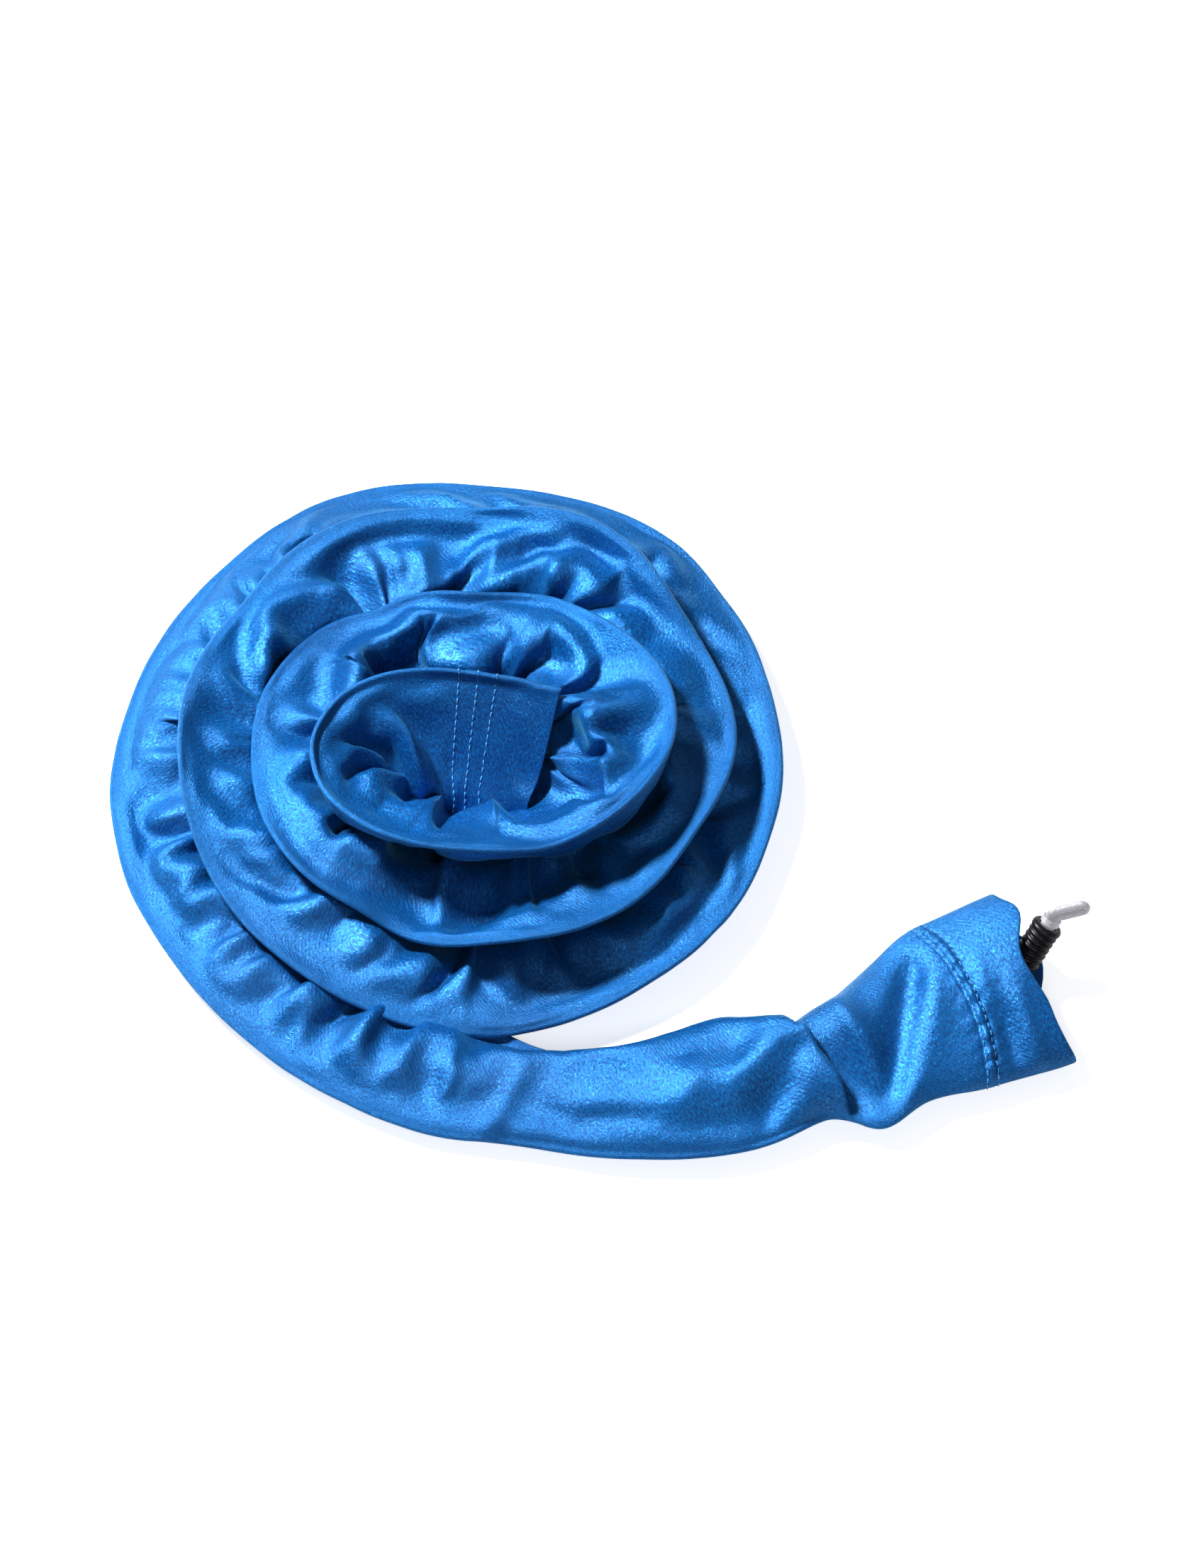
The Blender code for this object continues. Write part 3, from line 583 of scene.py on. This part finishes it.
def satin(name):
    made, tree, shader = nodes_of(name)
    link = tree.links.new
    place = add(tree, "ShaderNodeTexCoord")
    # Twill lines run aslant to the cloth, about 1.3 mm apart: the layout is in millimetres of cloth.
    twill = add(tree, "ShaderNodeTexWave", Scale=0.35, Distortion=0.6, wave_type="BANDS",
                bands_direction="DIAGONAL")
    twill.inputs["Detail"].default_value = 1
    link(place.outputs["UV"], twill.inputs["Vector"])
    threads = add(tree, "ShaderNodeTexNoise", Scale=0.95, Detail=4, Roughness=0.8)
    link(place.outputs["UV"], threads.inputs["Vector"])
    clouds = add(tree, "ShaderNodeTexNoise", Scale=22, Detail=3, Roughness=0.55)
    link(place.outputs["Object"], clouds.inputs["Vector"])
    crush = add(tree, "ShaderNodeTexNoise", Scale=120, Detail=4, Roughness=0.6)
    link(place.outputs["Object"], crush.inputs["Vector"])
    colour = ramp(tree, clouds.outputs["Fac"], (
        (0.3, (0.001, 0.078, 0.275)), (0.7, (0.003, 0.13, 0.4))))
    mixer = add(tree, "ShaderNodeMix", data_type="RGBA", blend_type="MULTIPLY")
    mixer.inputs[0].default_value = 0.35
    link(colour.outputs["Color"], mixer.inputs[6])
    line = ramp(tree, twill.outputs["Color"], ((0.2, (0.72, 0.74, 0.8)), (0.8, (1.1, 1.1, 1.08))))
    link(line.outputs["Color"], mixer.inputs[7])
    # Thread grain in the cloth's colour, partly painted light: darker and lighter specks of grain, with the
    # brightest specks whitened up to sixfold as painted glints.
    grain = add(tree, "ShaderNodeMix", data_type="RGBA", blend_type="MULTIPLY")
    grain.inputs[0].default_value = 1
    link(mixer.outputs[2], grain.inputs[6])
    grain_and_painted_glints = ramp(tree, threads.outputs["Fac"], (
        (0.38, (0.4, 0.5, 0.6)), (0.55, (1.3, 1.15, 1.1)), (0.67, (6, 2.3, 1.7))))
    link(grain_and_painted_glints.outputs["Color"], grain.inputs[7])
    link(grain.outputs[2], shader.inputs["Base Color"])
    rough = ramp(tree, threads.outputs["Fac"], ((0.38, (0.54,) * 3), (0.66, (0.2,) * 3)))
    link(rough.outputs["Color"], shader.inputs["Roughness"])
    first = bump(tree, crush.outputs["Fac"], 0.25, 0.002)
    second = bump(tree, threads.outputs["Fac"], 0.6, 0.0005, first)
    third = bump(tree, twill.outputs["Color"], 0.12, 0.0002, second)
    link(third.outputs["Normal"], shader.inputs["Normal"])
    shader.inputs["Metallic"].default_value = 0.4
    shader.inputs["Specular IOR Level"].default_value = 1.0
    shader.inputs["Specular Tint"].default_value = (0.5, 0.9, 1, 1)
    shader.inputs["Sheen Weight"].default_value = 0.25
    shader.inputs["Sheen Roughness"].default_value = 0.45
    shader.inputs["Sheen Tint"].default_value = (0.2, 0.7, 1, 1)
    shader.inputs["Anisotropic"].default_value = 0.6
    lie = add(tree, "ShaderNodeTangent", direction_type="UV_MAP", uv_map="cloth")
    link(lie.outputs["Tangent"], shader.inputs["Tangent"])
    return made


def thread_look(name, colour):
    made, tree, shader = nodes_of(name)
    link = tree.links.new
    place = add(tree, "ShaderNodeTexCoord")
    fibre = add(tree, "ShaderNodeTexNoise", Scale=1400, Detail=2, Roughness=0.6)
    link(place.outputs["Object"], fibre.inputs["Vector"])
    tone = ramp(tree, fibre.outputs["Fac"], (
        (0.3, tuple(c * 0.6 for c in colour)), (0.75, tuple(min(1, c * 1.5) for c in colour))))
    link(tone.outputs["Color"], shader.inputs["Base Color"])
    link(bump(tree, fibre.outputs["Fac"], 0.5, 0.0002).outputs["Normal"], shader.inputs["Normal"])
    shader.inputs["Roughness"].default_value = 0.42
    shader.inputs["Sheen Weight"].default_value = 0.4
    return made


def rubber_look():
    made, tree, shader = nodes_of("black_rubber_look")
    link = tree.links.new
    place = add(tree, "ShaderNodeTexCoord")
    grain = add(tree, "ShaderNodeTexNoise", Scale=900, Detail=4, Roughness=0.6)
    link(place.outputs["Object"], grain.inputs["Vector"])
    smudge = add(tree, "ShaderNodeTexNoise", Scale=160, Detail=2)
    link(place.outputs["Object"], smudge.inputs["Vector"])
    tone = ramp(tree, smudge.outputs["Fac"], ((0.3, (0.004, 0.004, 0.007)), (0.8, (0.009, 0.009, 0.014))))
    link(tone.outputs["Color"], shader.inputs["Base Color"])
    rough = ramp(tree, smudge.outputs["Fac"], ((0.3, (0.36,) * 3), (0.8, (0.48,) * 3)))
    link(rough.outputs["Color"], shader.inputs["Roughness"])
    link(bump(tree, grain.outputs["Fac"], 0.08, 0.0001).outputs["Normal"], shader.inputs["Normal"])
    shader.inputs["Specular IOR Level"].default_value = 0.4
    return made


def elastic_look():
    made, tree, shader = nodes_of("silver_elastic_look")
    link = tree.links.new
    place = add(tree, "ShaderNodeTexCoord")
    braid = add(tree, "ShaderNodeTexNoise", Scale=1500, Detail=3, Roughness=0.7)
    link(place.outputs["Object"], braid.inputs["Vector"])
    tone = ramp(tree, braid.outputs["Fac"], ((0.35, (0.18, 0.178, 0.20)), (0.65, (0.32, 0.315, 0.345))))
    link(tone.outputs["Color"], shader.inputs["Base Color"])
    link(bump(tree, braid.outputs["Fac"], 0.5, 0.0003).outputs["Normal"], shader.inputs["Normal"])
    shader.inputs["Roughness"].default_value = 0.38
    shader.inputs["Metallic"].default_value = 0.15
    # Painted light: a faint white glow lifts the shaded sides of the loop, the whipping and the cords, and
    # the darker base colour above offsets it on their lit sides.
    shader.inputs["Emission Color"].default_value = (0.95, 0.94, 1, 1)
    shader.inputs["Emission Strength"].default_value = 0.2
    return made


SATIN = satin("blue_satin_look")
THREAD = thread_look("blue_thread_look", (0.05, 0.28, 0.6))
RUBBER = rubber_look()
ELASTIC = elastic_look()

# ---------------------------------------------------------------- the finished sleeve

LINING_INSET, LINING_DEPTH = 0.9, 30.0
FOLD_INSET, FOLD_OUT, FOLD_RUN = 0.5, 0.12, 0.4  # the rounded edge between the skin and its lining
FIRST_ROW = 0.1


def grid_normals(grid):
    along = np.gradient(grid, axis=0)
    round_ = np.roll(grid, -1, axis=1) - np.roll(grid, 1, axis=1)
    normal = np.cross(round_, along)
    return normal / np.maximum(np.linalg.norm(normal, axis=-1, keepdims=True), 1e-9)


def with_linings(grid, rows):
    """The sleeve's grid with its two hems turned in, and how far along the cloth each row is."""
    normal = grid_normals(grid)
    if np.sum(normal[len(grid) // 2] * (grid[len(grid) // 2] - grid[len(grid) // 2].mean(0))) < 0:
        normal = -normal
    ends = []
    for order in (slice(None), slice(None, None, -1)):
        skin, out, run = grid[order], normal[order], rows[order]
        depth = np.abs(run - run[0])
        keep = (depth > FIRST_ROW) & (depth < LINING_DEPTH)
        lining = skin[keep] - out[keep] * LINING_INSET
        turn = skin[:1] - out[:1] * (LINING_INSET * FOLD_INSET) + (skin[:1] - skin[1:2]) * FOLD_OUT
        ends.append((np.concatenate([turn, lining]), np.concatenate([[FOLD_RUN], depth[keep]])))
    (inner, inner_run), (outer, outer_run) = ends
    full = np.concatenate([inner[::-1], grid, outer])
    run = np.concatenate([rows[0] - inner_run[::-1], rows, rows[-1] + outer_run])
    return full, run


def girth(grid):
    return np.linalg.norm(np.roll(grid, -1, axis=1) - grid, axis=2).sum(axis=1).mean()


def sleeve_object(grid, run):
    sleeve = bpy.data.objects.new("satin_sleeve", grid_mesh("satin_sleeve", grid, MM))
    mesh = sleeve.data
    count, around = grid.shape[:2]
    ring = girth(grid)
    layout = mesh.uv_layers.new(name="cloth")
    spots = np.zeros((len(mesh.loops), 2))
    corner = 0
    for i in range(count - 1):
        for j in range(around):
            for row, column in ((i, j), (i + 1, j), (i + 1, j + 1), (i, j + 1)):
                spots[corner] = (run[row], column * ring / around)
                corner += 1
    layout.data.foreach_set("uv", spots.ravel())
    bpy.context.scene.collection.objects.link(sleeve)
    mesh.materials.append(SATIN)
    mesh.shade_smooth()
    finer = sleeve.modifiers.new("Finer", "SUBSURF")
    finer.levels = finer.render_levels = 1
    finer.uv_smooth = "PRESERVE_CORNERS"
    apply_modifiers(sleeve)
    return sleeve


def apply_modifiers(obj):
    bpy.context.view_layer.objects.active = obj
    graph = bpy.context.evaluated_depsgraph_get()
    done = bpy.data.meshes.new_from_object(obj.evaluated_get(graph), depsgraph=graph)
    old = obj.data
    obj.modifiers.clear()
    obj.data = done
    bpy.data.meshes.remove(old)


# The channel and the stitch rows: distances from the rim, or from the inner mouth.
CHANNEL_AT = 25.0
CHANNEL_BEND = 6.5
CHANNEL_ROWS = (22.9, 27.1)
INNER_ROWS = (22.0, 28.0, 34.0)
CHANNEL_SPREAD = 1.7
ROW_PULL, ROW_SPREAD = 0.55, 0.8
PUCKERS, PUCKER_REACH, PUCKER_HEIGHT, CHANNEL_PUCKER = 29, 5.5, 0.24, 0.25
PUCKER_WANDER, WANDERS, PUCKER_TURN = 1.3, 3, 0.35
FINE_ZONE_AT, FINE_ZONE_REACH = CHANNEL_AT + 3, 14
RELIEF_BEGINS = (14, 17)
EDGE_FLATTENED, FLAT_EDGE = 0.9, (0.8, 0.97)
STITCH_PITCH, STITCH_LENGTH, STITCH_THREAD = 2.7, 2.1, 0.24
STITCH_PROFILE = (-0.15, 0.16, 0.24, 0.16, -0.15)
STITCH_JITTER, STITCH_SKEW = 0.08, 0.3
STITCH_SEARCH = 0.6
ROD_TIP = 0.35
ANY_WAY = (0.31, 0.17, 0.93)


def channel_bend(angle):
    """How much further from the rim the channel runs towards the sleeve's two edges."""
    return CHANNEL_BEND * np.cos(angle) ** 2


def relief(depth, ring):
    """How far the stitched channel stands up at a depth from the rim. The ring goes from 0 to 1 round it."""
    depth = depth - channel_bend(TAU * (ring + 0.5 / AROUND))
    off = depth - CHANNEL_AT
    tube = np.exp(-((off / CHANNEL_SPREAD) ** 2))
    pulled = sum(ROW_PULL * np.exp(-(((depth - row) / ROW_SPREAD) ** 2)) for row in CHANNEL_ROWS)
    near = np.exp(-((off / PUCKER_REACH) ** 2))
    wander = PUCKER_WANDER * np.sin(TAU * WANDERS * ring)
    wave = np.sin(TAU * PUCKERS * ring + wander + PUCKER_TURN * off)
    return tube * (1 + CHANNEL_PUCKER * wave) - pulled + PUCKER_HEIGHT * near * wave


def refine_hem(sleeve, run_end, ring):
    """A finer mesh round the open mouth, raised into the channel and its puckers."""
    mesh = bmesh.new()
    mesh.from_mesh(sleeve.data)
    layout = mesh.loops.layers.uv.active

    def at(vertex):
        return vertex.link_loops[0][layout].uv

    zone = [edge for edge in mesh.edges
            if all(abs(run_end - at(v).x - FINE_ZONE_AT) < FINE_ZONE_REACH for v in edge.verts)]
    bmesh.ops.subdivide_edges(mesh, edges=zone, cuts=1, use_grid_fill=True)
    mesh.normal_update()
    spots = np.array([at(v)[:] for v in mesh.verts])
    depth = run_end - spots[:, 0]
    lift = np.where(depth > 0, relief(depth, spots[:, 1] / ring), 0) * ease(*RELIEF_BEGINS, depth)
    sideways = np.abs(np.cos(TAU * (spots[:, 1] / ring + 0.5 / AROUND)))
    lift *= 1 - EDGE_FLATTENED * ease(*FLAT_EDGE, sideways)
    for vertex, far in zip(mesh.verts, lift):
        if far:
            vertex.co += vertex.normal * (float(far) * MM * OUTWARD)
    mesh.to_mesh(sleeve.data)
    mesh.free()


def new_piece(name, points, faces, look, body):
    """A smooth object made of points in metres, riding on a body."""
    mesh = bpy.data.meshes.new(name)
    mesh.from_pydata(points, [], faces)
    mesh.materials.append(look)
    mesh.shade_smooth()
    obj = bpy.data.objects.new(name, mesh)
    bpy.context.scene.collection.objects.link(obj)
    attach(obj, body)
    return obj


def rods(name, lines, size_at, sides, look, body):
    """Closed rods along lines of points, in one piece. size_at gives the radius at a ring and an angle."""
    points, faces = [], []
    for line in lines:
        line = np.asarray(line)
        base = len(points)
        ahead = np.gradient(line, axis=0)
        ahead /= np.linalg.norm(ahead, axis=1, keepdims=True)
        up = np.cross(ahead[0], ANY_WAY)
        for k, (point, along) in enumerate(zip(line, ahead)):
            up = up - along * (up @ along)
            up /= np.linalg.norm(up)
            out = np.cross(along, up)
            for j in range(sides):
                turn = TAU * j / sides
                away = up * math.cos(turn) + out * math.sin(turn)
                points.append(point + away * size_at(k, len(line), turn))
        for k in range(len(line) - 1):
            for j in range(sides):
                a, b = base + k * sides + j, base + k * sides + (j + 1) % sides
                faces.append((a, b, b + sides, a + sides))
        last = base + (len(line) - 1) * sides
        faces.append(tuple(base + j for j in range(sides))[::-1])
        faces.append(tuple(last + j for j in range(sides)))
    return new_piece(name, (np.array(points) * MM).tolist(), faces, look, body)


def tapered(radius):
    """A rod's size that draws in at both of its ends."""
    return lambda k, count, turn: radius * (ROD_TIP if k in (0, count - 1) else 1)


def stitch_row(name, distance, grid, s, tree, body, rng):
    """Single stitches round the sleeve, lying on the finished cloth."""
    bend = channel_bend(ANGLES) if body == "cuff" else np.zeros(AROUND)
    row = np.interp(distance - bend, s, np.arange(len(s)))
    low = row.astype(int)
    column = np.arange(AROUND)
    ring = mix(grid[low, column], grid[low + 1, column], (row - low)[:, None])
    centre = ring.mean(axis=0)
    closed = np.concatenate([ring, ring[:1]])
    reach = np.concatenate([[0], np.cumsum(np.linalg.norm(np.diff(closed, axis=0), axis=1))])
    along = (grid[low + 2, column] - grid[low, column]).mean(axis=0)
    along /= np.linalg.norm(along)
    count = int(reach[-1] / STITCH_PITCH)
    lines = []
    for k in range(count):
        middle = (k + rng.uniform(-STITCH_JITTER, STITCH_JITTER)) * reach[-1] / count
        skew = rng.uniform(-STITCH_SKEW, STITCH_SKEW)
        line = []
        for step, high in zip(np.linspace(-0.5, 0.5, len(STITCH_PROFILE)), STITCH_PROFILE):
            at = (middle + step * STITCH_LENGTH) % reach[-1]
            point = np.array([np.interp(at, reach, closed[:, axis]) for axis in range(3)])
            point = point + along * (skew * step)
            out = point - centre
            out -= along * (out @ along)
            out /= np.linalg.norm(out)
            spot, normal, _, _ = tree.find_nearest(Vector((point + out * STITCH_SEARCH) * MM))
            normal = np.array(normal)
            normal = normal if normal @ out > 0 else -normal
            line.append(np.array(spot) / MM + normal * high)
        lines.append(line)
    return rods(name, lines, tapered(STITCH_THREAD), 6, THREAD, body)


full, run = with_linings(settled, rows)
sleeve = sleeve_object(full, run)
probe = sleeve.data.polygons[len(sleeve.data.polygons) // 2]
middle_row = full[len(full) // 2].mean(axis=0) * MM
OUTWARD = 1 if (np.array(probe.center) - middle_row) @ np.array(probe.normal) > 0 else -1
refine_hem(sleeve, rows[-1], girth(full))
cloth_tree = BVHTree.FromObject(sleeve, bpy.context.evaluated_depsgraph_get())
stitch_rng = np.random.default_rng(STITCH_SEED)
stitch_rows = [
    ("channel_stitch_row_front", LENGTH - CHANNEL_ROWS[0], "cuff"),
    ("channel_stitch_row_rear", LENGTH - CHANNEL_ROWS[1], "cuff"),
]
stitch_rows += [(f"inner_stitch_row_{number}", depth, "coil") for number, depth in enumerate(INNER_ROWS, 1)]
for name, distance, body in stitch_rows:
    piece = stitch_row(name + "_stitches", distance, settled, s, cloth_tree, body, stitch_rng)
    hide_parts(name)
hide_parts("sleeve_coil", "sleeve_cuff", "hem_facing", "inner_hem_facing",
            "side_seam_coil", "side_seam_cuff")
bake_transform(sleeve)

# ---------------------------------------------------------------- stopper and pull loop

STOPPER_BASE = np.array([COIL_CENTRE[0] + 195.5, COIL_CENTRE[1] - 81.2, 9.6])
STOPPER_AXIS = np.array([0.48, 0.42, 0.77]) / np.linalg.norm([0.48, 0.42, 0.77])
LOOP_HEADING = np.array([0.967, 0.153, 0.204]) / np.linalg.norm([0.967, 0.153, 0.204])
STOPPER_LENGTH, STOPPER_TOP_RING = 18.0, 2.9
STOPPER_RADIUS, STOPPER_GROOVE, STOPPER_BORE = 5.7, 4.1, 3.1
RIBS, RIB_INSET, RIB_SWELL, RING_ROUNDING = 7, 0.25, 0.7, 1.25
BORE_ROUNDED, FOOT_WIDER, TOP_WIDER, TOP_LOWER = 0.5, 0.4, 0.25, 0.1
RING_LIFT, ROUND_POINTS = 0.05, 9
CORD_RADIUS, CORD_OFFSET = 1.5, 1.45
BRAID_CORE, BRAID_HEIGHT, BRAID_STRANDS, BRAID_TWIST = 0.95, 0.07, 5, 0.95
NECK_ABOVE_TOP, LOOP_ARM = 4.6, 9.8
BELOW_STOPPER, IN_BORE = 2.9, (6, 14)
BEND_REACH, BEND_KEPT, BEND_CUT, ARM_FROM = 3.2, 0.86, 0.07, 3.4
TIP_LENGTH = 1.1
CORD_STEP = 0.3
WHIP_TURNS, WHIP_LENGTH, WHIP_THREAD = 5, 2.4, 0.27
WHIP_GAP, WHIP_ABOVE, WHIP_POINTS = 0.35, 0.7, 28


def lathe(name, outline, base, axis, look, body, segments=72):
    """A closed outline of (radius, height) turned about an axis through the base."""
    axis = Vector(axis).normalized()
    side = axis.orthogonal().normalized()
    other = axis.cross(side)
    points, faces = [], []
    count = len(outline)
    for k in range(segments):
        turn = TAU * k / segments
        out = side * math.cos(turn) + other * math.sin(turn)
        points += [(Vector(base) + out * r + axis * h) * MM for r, h in outline]
    for k in range(segments):
        for j in range(count):
            a, b = k * count + j, k * count + (j + 1) % count
            c, d = (k + 1) % segments * count + (j + 1) % count, (k + 1) % segments * count + j
            faces.append((a, d, c, b))
    obj = new_piece(name, points, faces, look, body)
    outside = bmesh.new()
    outside.from_mesh(obj.data)
    bmesh.ops.recalc_face_normals(outside, faces=outside.faces)
    outside.to_mesh(obj.data)
    outside.free()
    return obj


def stopper():
    """A bellows of rounded rings under a thicker, smooth top ring."""
    outline = [(STOPPER_BORE, BORE_ROUNDED), (STOPPER_BORE + FOOT_WIDER, RING_LIFT), (STOPPER_GROOVE, 0)]
    low = STOPPER_LENGTH - STOPPER_TOP_RING
    pitch = low / (RIBS - 1)
    for rib in range(RIBS - 1):
        for share in np.linspace(0, 1, ROUND_POINTS)[:-1]:
            swell = math.sin(math.pi * share) ** RIB_SWELL
            outline.append((STOPPER_GROOVE + (STOPPER_RADIUS - RIB_INSET - STOPPER_GROOVE) * swell,
                            (rib + share) * pitch + RING_LIFT))
    half_ring = STOPPER_TOP_RING / 2
    for turn in np.linspace(-0.5, 0.5, ROUND_POINTS):
        angle = math.pi * turn
        outline.append((STOPPER_RADIUS - RING_ROUNDING + RING_ROUNDING * math.cos(angle),
                        low + half_ring + (half_ring - RING_LIFT) * math.sin(angle)))
    outline += [(STOPPER_BORE + TOP_WIDER, STOPPER_LENGTH - TOP_LOWER),
                (STOPPER_BORE, STOPPER_LENGTH - BORE_ROUNDED)]
    piece = lathe("ribbed_stopper", outline, STOPPER_BASE, STOPPER_AXIS, RUBBER, "stopper")
    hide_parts("cord_stopper")


def smooth_line(points, spacing):
    """A Catmull-Rom curve through the points, read at even spacing."""
    p = np.asarray(points, float)
    p = np.concatenate([2 * p[:1] - p[1:2], p, 2 * p[-1:] - p[-2:-1]])
    t = np.linspace(0, 1, 25)[:-1, None]
    pieces = []
    for a, b, c, d in zip(p, p[1:], p[2:], p[3:]):
        pieces.append(0.5 * (2 * b + (c - a) * t + (2 * a - 5 * b + 4 * c - d) * t**2
                             + (3 * b - a - 3 * c + d) * t**3))
    line = np.concatenate(pieces + [p[-2:-1]])
    reach = np.concatenate([[0], np.cumsum(np.linalg.norm(np.diff(line, axis=0), axis=1))])
    at = np.linspace(0, reach[-1], int(reach[-1] / spacing))
    return np.stack([np.interp(at, reach, line[:, k]) for k in range(3)], -1)


def pull_loop():
    """A hairpin of braided elastic through the stopper, bent over above it, and bound at its foot."""
    lean = STOPPER_AXIS @ LOOP_HEADING
    away = STOPPER_AXIS * lean - LOOP_HEADING
    away /= np.linalg.norm(away)
    outer = STOPPER_AXIS - LOOP_HEADING * lean
    outer /= np.linalg.norm(outer)
    elbow = STOPPER_LENGTH + NECK_ABOVE_TOP
    corner = STOPPER_AXIS - LOOP_HEADING
    corner /= np.linalg.norm(corner)
    half_bend = math.sqrt((1 + lean) / 2)
    tip = STOPPER_BASE + STOPPER_AXIS * elbow + LOOP_HEADING * LOOP_ARM
    strands = []
    for offset in (CORD_OFFSET, -CORD_OFFSET):
        def axis_point(height):
            return STOPPER_BASE + STOPPER_AXIS * height + away * offset
        bend = STOPPER_BASE + STOPPER_AXIS * elbow + corner * (offset / half_bend)
        below_bend = axis_point(elbow - BEND_REACH)
        strands.append([
            axis_point(-BELOW_STOPPER), axis_point(IN_BORE[0]), axis_point(IN_BORE[1]), below_bend,
            bend * BEND_KEPT + BEND_CUT * (below_bend + bend + LOOP_HEADING * BEND_REACH),
            bend + LOOP_HEADING * ARM_FROM, tip + outer * offset,
        ])
    turn = [
        tip + outer * (CORD_OFFSET * math.cos(a)) + LOOP_HEADING * (CORD_OFFSET * TIP_LENGTH * math.sin(a))
        for a in np.linspace(0, math.pi, ROUND_POINTS)[1:-1]
    ]
    line = smooth_line(strands[0] + turn + strands[1][::-1], CORD_STEP)
    piece = rods("braided_pull_loop", [line], braid_size, 20, ELASTIC, "loop")
    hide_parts("pull_loop")


def braid_size(k, count, turn):
    """The cord's radius at a ring and an angle: its cover shows two sets of crossing ribs."""
    ribs = max(math.cos(BRAID_STRANDS * turn + way * BRAID_TWIST * k) for way in (1, -1))
    return CORD_RADIUS * BRAID_CORE + BRAID_HEIGHT * ribs


def whipping():
    """Thread wound round both strands, just above the stopper."""
    side = np.array(Vector(STOPPER_AXIS).orthogonal().normalized())
    other = np.cross(STOPPER_AXIS, side)
    wide = CORD_OFFSET + CORD_RADIUS + WHIP_GAP
    line = []
    for k in np.linspace(0, 1, WHIP_TURNS * WHIP_POINTS):
        turn = TAU * WHIP_TURNS * k
        base = STOPPER_BASE + STOPPER_AXIS * (STOPPER_LENGTH + WHIP_ABOVE + WHIP_LENGTH * k)
        line.append(base + (side * math.cos(turn) + other * math.sin(turn)) * wide)
    piece = rods("loop_whipping_thread", [line], tapered(WHIP_THREAD), 8, ELASTIC, "loop")
    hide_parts("loop_whipping")


stopper()
pull_loop()
whipping()
for node, look in (("exit_eyelet", THREAD), ("channel_cord_near", ELASTIC),
                   ("channel_cord_far", ELASTIC), ("cord_knot", ELASTIC)):
    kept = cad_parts[node]
    kept.data.materials.clear()
    kept.data.materials.append(look)

# ---------------------------------------------------------------- light, floor and camera

FLOOR_HALF = 3.0
FLOOR_GLOW = 0.55  # for the camera only, so that the floor looks pale and the object isn't lit by it
CAMERA_AIM, CAMERA_ELEVATION = (-0.00425, 0.01797, -0.0014), 60
VIEW_HEIGHT, LENS, SENSOR = 0.553, 700, 36
WORLD_STRENGTH = 0.15
EXPOSURE, GAMMA = 0.25, 0.82


def stage_floor():
    bpy.ops.mesh.primitive_plane_add(size=2 * FLOOR_HALF)
    floor = bpy.context.object
    floor.name = "floor"
    made, tree, shader = nodes_of("pale_floor")
    shader.inputs["Base Color"].default_value = (0.93, 0.93, 0.94, 1)
    shader.inputs["Roughness"].default_value = 0.9
    shader.inputs["Specular IOR Level"].default_value = 0.1
    seen = tree.nodes.new("ShaderNodeLightPath")
    glow = add(tree, "ShaderNodeMath", operation="MULTIPLY")
    tree.links.new(seen.outputs["Is Camera Ray"], glow.inputs[0])
    glow.inputs[1].default_value = FLOOR_GLOW
    tree.links.new(glow.outputs["Value"], shader.inputs["Emission Strength"])
    shader.inputs["Emission Color"].default_value = (1, 1, 1, 1)
    floor.data.materials.append(made)


def area_light(name, place, aim, size, power, colour):
    lamp = bpy.data.lights.new(name, "AREA")
    lamp.size = size
    lamp.energy = power
    lamp.color = colour
    obj = bpy.data.objects.new(name, lamp)
    obj.location = place
    obj.rotation_euler = (Vector(aim) - Vector(place)).to_track_quat("-Z", "Y").to_euler()
    bpy.context.scene.collection.objects.link(obj)


def camera(aim, elevation, height, lens):
    data = bpy.data.cameras.new("camera")
    data.lens = lens
    data.sensor_width = SENSOR
    back = Vector((0, -math.cos(math.radians(elevation)), math.sin(math.radians(elevation))))
    obj = bpy.data.objects.new("camera", data)
    obj.location = Vector(aim) + back * (height / 2 / (SENSOR / 2 / lens))
    obj.rotation_euler = (-back).to_track_quat("-Z", "Y").to_euler()
    data.clip_end = 40
    bpy.context.scene.collection.objects.link(obj)
    bpy.context.scene.camera = obj


def world_light():
    world = bpy.data.worlds.new("studio")
    bpy.context.scene.world = world
    world.use_nodes = True
    back = world.node_tree.nodes["Background"]
    back.inputs["Color"].default_value = (0.93, 0.96, 1, 1)
    back.inputs["Strength"].default_value = WORLD_STRENGTH


stage_floor()
area_light("key", (-0.85, 0.6, 1.3), (0, 0, 0), 0.25, 60, (1, 0.99, 0.97))
area_light("fill", (0.3, -1.0, 1.2), (0, 0, 0), 0.5, 5, (0.95, 0.98, 1))
world_light()
camera(CAMERA_AIM, CAMERA_ELEVATION, VIEW_HEIGHT, LENS)
view = bpy.context.scene.view_settings
view.view_transform, view.exposure, view.gamma = "Standard", EXPOSURE, GAMMA
